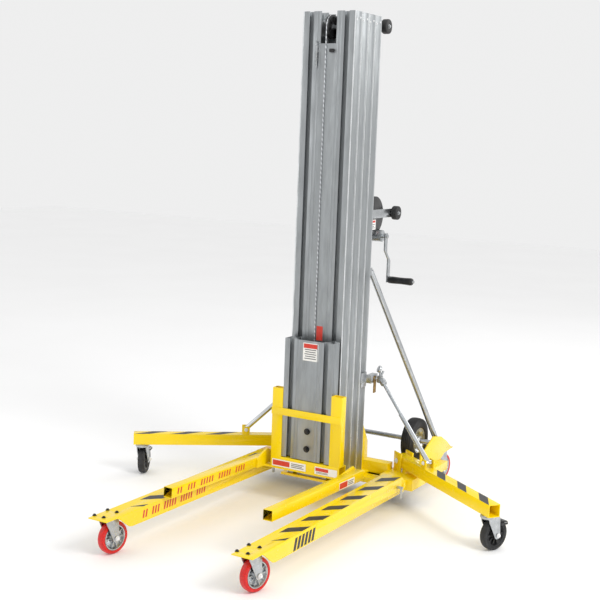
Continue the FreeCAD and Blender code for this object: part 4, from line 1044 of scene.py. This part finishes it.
class LIFT_OT_casters(bpy.types.Operator):
    """Make the swivel forks and wheels of the six casters"""
    bl_idname = "lift.casters"
    bl_label = "Casters"

    def execute(self, context):
        for name in CASTERS:
            refinish(name + "_caster_fork", sizes().fine_edge)
            red = not name.endswith("outrigger")
            centre = at_joint(name + "_caster_roll")
            way = Vector(JOINTS[name + "_caster_roll"]["axis"])
            crown = sizes().tyre_crown * 1000
            tread = []
            for step in range(-6, 7):
                share = step / 6
                tread.append((15.0 * share, 63.4 - crown * share ** 2 - 1.6 * share ** 8))
            profile = [(-12, 48.2), (-15.5, 50), (-16, 56)] + tread + [(16, 56), (15.5, 50), (12, 48.2)]
            tyre = lathe(profile, centre, way, closed=True, steps=72)
            wheel_body = name + "_caster_wheel"
            rim = [(-15, 48), (-15, 44), (-9, 41), (-5, 38), (-5, 22), (-13, 17.5), (-18, 16.5),
                   (-18, 5.3), (18, 5.3), (18, 16.5), (13, 17.5), (5, 22), (5, 38), (9, 41), (15, 44),
                   (15, 48)]
            hub = lathe(rim, centre, way, closed=True, steps=72)
            rib = turned(box(mm(-12, 17, -2), mm(12, 42, 2), 0.6),
                         Matrix.Translation(centre) @ to_axis(way))
            ribs = ring(rib, 10, centre, way, "zinc_plate")
            self.mounting(name, way)
            if red:
                piece(name + "_tyre", tyre, wheel_body, "red_polyurethane",
                      stands_for=(name + "_caster_tyre",))
                piece(name + "_hub", joined(hub, ribs), wheel_body, "zinc_plate",
                      stands_for=(name + "_caster_hub",))
            else:
                piece(name + "_tyre", tyre, wheel_body, "black_rubber",
                      stands_for=(name + "_caster_wheel",))
                piece(name + "_hub", joined(hub, ribs), wheel_body, "black_plastic")
        return {"FINISHED"}

    def mounting(self, name, way):
        """The race and axle nuts of one caster, and the brake pedal of an outrigger caster."""
        swivel = at_joint(name + "_caster_swivel")
        wheel = at_joint(name + "_caster_roll")
        outrigger = name.endswith("outrigger")
        under = OUTRIGGER_TOP - mm(51) if outrigger else mm(156.6)
        race = lathe([(0, 24), (0, 30), (3.5, 31.5), (9, 31.5), (12, 27), (12, 24)],
                     (swivel.x, swivel.y, under - mm(13.5)), (0, 0, 1), 48, closed=True)
        piece(name + "_caster_race", race, name + "_caster_fork", "zinc_plate")
        reach = 27.5
        nuts = joined(bolts([wheel + way * mm(reach)], way, 7.0),
                      bolts([wheel - way * mm(reach)], -way, 7.0))
        piece(name + "_caster_nuts", nuts, name + "_caster_fork", None)
        back = Vector((-way.y, way.x, 0))
        turn = Matrix((way, back, Z_AXIS)).transposed().to_4x4()
        place = Matrix.Translation(wheel) @ turn
        if outrigger:
            pedal = box(mm(-20, 38, 44), mm(20, 57, 48), 1.2)
            arms = [box(mm(x, 14, 36), mm(x + 3, 54, 45), 0.8) for x in (-24.6, 21.6)]
            whole = turned(joined(pedal, *arms), place)
            piece(name + "_brake_pedal", whole, name + "_caster_fork", "black_plastic")


# ---------------------------------------------------------------- transport wheels

class LIFT_OT_transport(bpy.types.Operator):
    """Make the ribbed transport tyres and their pressed rims"""
    bl_idname = "lift.transport"
    bl_label = "Transport wheels"

    def execute(self, context):
        deep = sizes().tread_groove * 1000
        for name, side in SIDES:
            centre = at_joint(name + "_transport_roll")
            tread = []
            for groove in (-18, -9, 0, 9, 18):
                crown = 101.4 - 0.006 * groove ** 2
                tread += [(groove - 1.8, crown), (groove - 1.0, crown - deep),
                          (groove + 1.0, crown - deep), (groove + 1.8, crown)]
            profile = [(-14, 54.5), (-21, 56), (-26, 64), (-28.3, 76), (-27.5, 88), (-24, 97)] + tread
            profile += [(24, 97), (27.5, 88), (28.3, 76), (26, 64), (21, 56), (14, 54.5)]
            tyre = lathe(profile, centre, closed=True, steps=96)
            body = name + "_transport_wheel"
            piece(name + "_transport_tread", tyre, body, "black_rubber",
                  stands_for=(name + "_transport_tyre",))
            rim = [(-23, 53.5), (-24.5, 57), (-22, 58), (-18, 53), (-8, 49), (-4, 44), (-3, 30),
                   (-9, 24), (-28, 20), (-30, 18), (-30, 11.5), (30, 11.5), (30, 18), (28, 20),
                   (9, 24), (3, 30), (4, 44), (8, 49), (18, 53), (22, 58), (24.5, 57), (23, 53.5)]
            disc = lathe(rim, centre, closed=True, steps=72)
            piece(name + "_transport_disc", disc, body, "pale_and_highlight_aluminium",
                  stands_for=(name + "_transport_rim",))
        return {"FINISHED"}


# ---------------------------------------------------------------- winch and rollers

class LIFT_OT_winch(bpy.types.Operator):
    """Make the winch: frame, drum, cover, crank and grip"""
    bl_idname = "lift.winch"
    bl_label = "Winch"

    def execute(self, context):
        group = sizes()
        refinish("winch_frame", group.fine_edge)
        refinish("winch_cover", mm(1.5))
        refinish("cable_drum", group.fine_edge)
        refinish("winch_crank", mm(1.5))
        refinish("mast_brackets", group.fine_edge)
        refinish("upper_rollers", mm(3))
        refinish("lower_rollers", mm(3))
        self.grip()
        for pair in ("upper_rollers", "lower_rollers"):
            self.roller_hubs(pair)
        drum = at_joint("drum_turn")
        # the cover's outer face stands a millimetre inside the end of its boss
        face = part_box("winch_cover")[1].x - mm(1)
        sheet = sheet_on("right", (face, drum.y - mm(50), drum.z - mm(62)))
        label("winch_label", "chassis", sheet, 62, 44, (4, 31, 58, 40),
              [(5, 6 + 7.5 * row, 50 - 7 * (row % 2), 3.4) for row in range(3)])
        return {"FINISHED"}

    def grip(self):
        """The crank's grip, turned with a waist and a rounded end."""
        low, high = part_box("crank_grip")
        centre = (low + high) / 2
        half = (high.x - low.x) * 500
        wide = (high.z - low.z) * 500
        bore = wide * 0.42
        profile = [(-half, bore), (-half, wide * 0.82), (-half + 3, wide * 0.93), (-half * 0.6, wide * 0.97),
                   (0, wide * 0.9), (half * 0.5, wide * 0.94), (half * 0.8, wide), (half * 0.92, wide * 0.95),
                   (half * 0.98, wide * 0.8), (half, wide * 0.6), (half, bore)]
        piece("crank_grip_moulding", lathe(profile, centre, closed=True), "crank_grip",
              "black_plastic", stands_for=("crank_grip",))

    def roller_hubs(self, pair):
        """Pale bushes in the two ends of each roller."""
        low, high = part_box(pair)
        centre = (low + high) / 2
        half = (high.x - low.x) * 500
        bushes = []
        for side in (-1, 1):
            face = centre + mm(side * (half - 2), 0, 0)
            bushes.append(lathe([(-2.0, 6.6), (-2.0, 11), (1.2, 11), (1.9, 9.6), (1.9, 6.6)], face,
                                (side, 0, 0), closed=True))
        piece(pair + "_bushes", joined(*bushes), pair, "zinc_plate")


# ---------------------------------------------------------------- stage

class LIFT_OT_stage(bpy.types.Operator):
    """Lay the pale floor, set the soft lights and the camera"""
    bl_idname = "lift.stage"
    bl_label = "Stage"

    def execute(self, context):
        scene = context.scene
        bm = bmesh.new()
        bmesh.ops.create_grid(bm, x_segments=1, y_segments=1, size=14)
        mesh = bpy.data.meshes.new("floor")
        bm.to_mesh(mesh)
        bm.free()
        mesh.materials.append(pale_floor())
        floor = bpy.data.objects.new("floor", mesh)
        scene.collection.objects.link(floor)
        world = bpy.data.worlds.new("soft_studio")
        scene.world = world
        world.use_nodes = True
        world.node_tree.nodes["Background"].inputs["Color"].default_value = linear("FFFFFF")
        world.node_tree.nodes["Background"].inputs["Strength"].default_value = 0.86
        # a plain display curve keeps the enamel's yellow as saturated as the real paint
        scene.view_settings.view_transform = "Standard"
        target = Vector((0, 0, 0.9))
        for name, place, size, power in (("key", (4.6, -1.2, 4.2), 2.0, 150),
                                         ("fill", (-4.2, -3.0, 2.6), 3.0, 20),
                                         ("rim", (1.5, 4.5, 3.8), 2.4, 35)):
            lamp = bpy.data.lights.new(name, "AREA")
            lamp.size = size
            lamp.energy = power
            made = bpy.data.objects.new(name, lamp)
            made.location = place
            made.rotation_euler = (target - Vector(place)).to_track_quat("-Z", "Y").to_euler()
            scene.collection.objects.link(made)
        lens = bpy.data.cameras.new("camera")
        lens.lens = 68.6
        lens.sensor_width = 36
        camera = bpy.data.objects.new("camera", lens)
        camera.matrix_world = camera_place()
        scene.collection.objects.link(camera)
        scene.camera = camera
        return {"FINISHED"}


def camera_place():
    """Where the camera stands: seen from the front right, a little above the mast's middle."""
    swing, tilt, roll = (math.radians(angle) for angle in (29.97, 7.99, -2.13))
    back = Vector((math.sin(swing) * math.cos(tilt), -math.cos(swing) * math.cos(tilt),
                   math.sin(tilt)))
    right = Vector((math.cos(swing), math.sin(swing), 0))
    up = back.cross(right)
    across = right * math.cos(roll) - up * math.sin(roll)
    above = right * math.sin(roll) + up * math.cos(roll)
    turn = Matrix((across, above, back)).transposed().to_4x4()
    return Matrix.Translation((2.32901, -4.03971, 1.56422)) @ turn


def pale_floor():
    """Painted studio floor: matt and even."""
    made, tree, shader, place = shader_tree("pale_floor")
    cloud = noise(tree, place, per_mm(900), 2.0)
    shade(tree, shader, mix_colours(tree, cloud, linear("FAFAFA"), linear("FFFFFF")), 0.75)
    return made


# ---------------------------------------------------------------- panel and run

OPERATORS = (LIFT_OT_finishes, LIFT_OT_mast, LIFT_OT_sheaves, LIFT_OT_cables, LIFT_OT_carriage,
             LIFT_OT_legs, LIFT_OT_outriggers, LIFT_OT_markings, LIFT_OT_base, LIFT_OT_casters,
             LIFT_OT_transport, LIFT_OT_winch, LIFT_OT_stage)


class LIFT_PT_panel(bpy.types.Panel):
    """The lift's builders, sizes and colours"""
    bl_idname = "LIFT_PT_panel"
    bl_label = "Mast material lift"
    bl_space_type = "VIEW_3D"
    bl_region_type = "UI"
    bl_category = "Lift"

    def draw(self, context):
        for operator in OPERATORS:
            self.layout.operator(operator.bl_idname)
        for group in (context.scene.lift_sizes, context.scene.lift_colours):
            for name in group.bl_rna.properties.keys():
                if name not in ("rna_type", "name"):
                    self.layout.prop(group, name)


CLASSES = (LiftSizes, LiftColours, *OPERATORS, LIFT_PT_panel)


def register():
    for item in CLASSES:
        bpy.utils.register_class(item)
    bpy.types.Scene.lift_sizes = bpy.props.PointerProperty(type=LiftSizes)
    bpy.types.Scene.lift_colours = bpy.props.PointerProperty(type=LiftColours)


def unregister():
    del bpy.types.Scene.lift_sizes
    del bpy.types.Scene.lift_colours
    for item in reversed(CLASSES):
        bpy.utils.unregister_class(item)


def main():
    register()
    for operator in OPERATORS:
        group, name = operator.bl_idname.split(".")
        getattr(getattr(bpy.ops, group), name)()


if __name__ == "__main__":
    main()
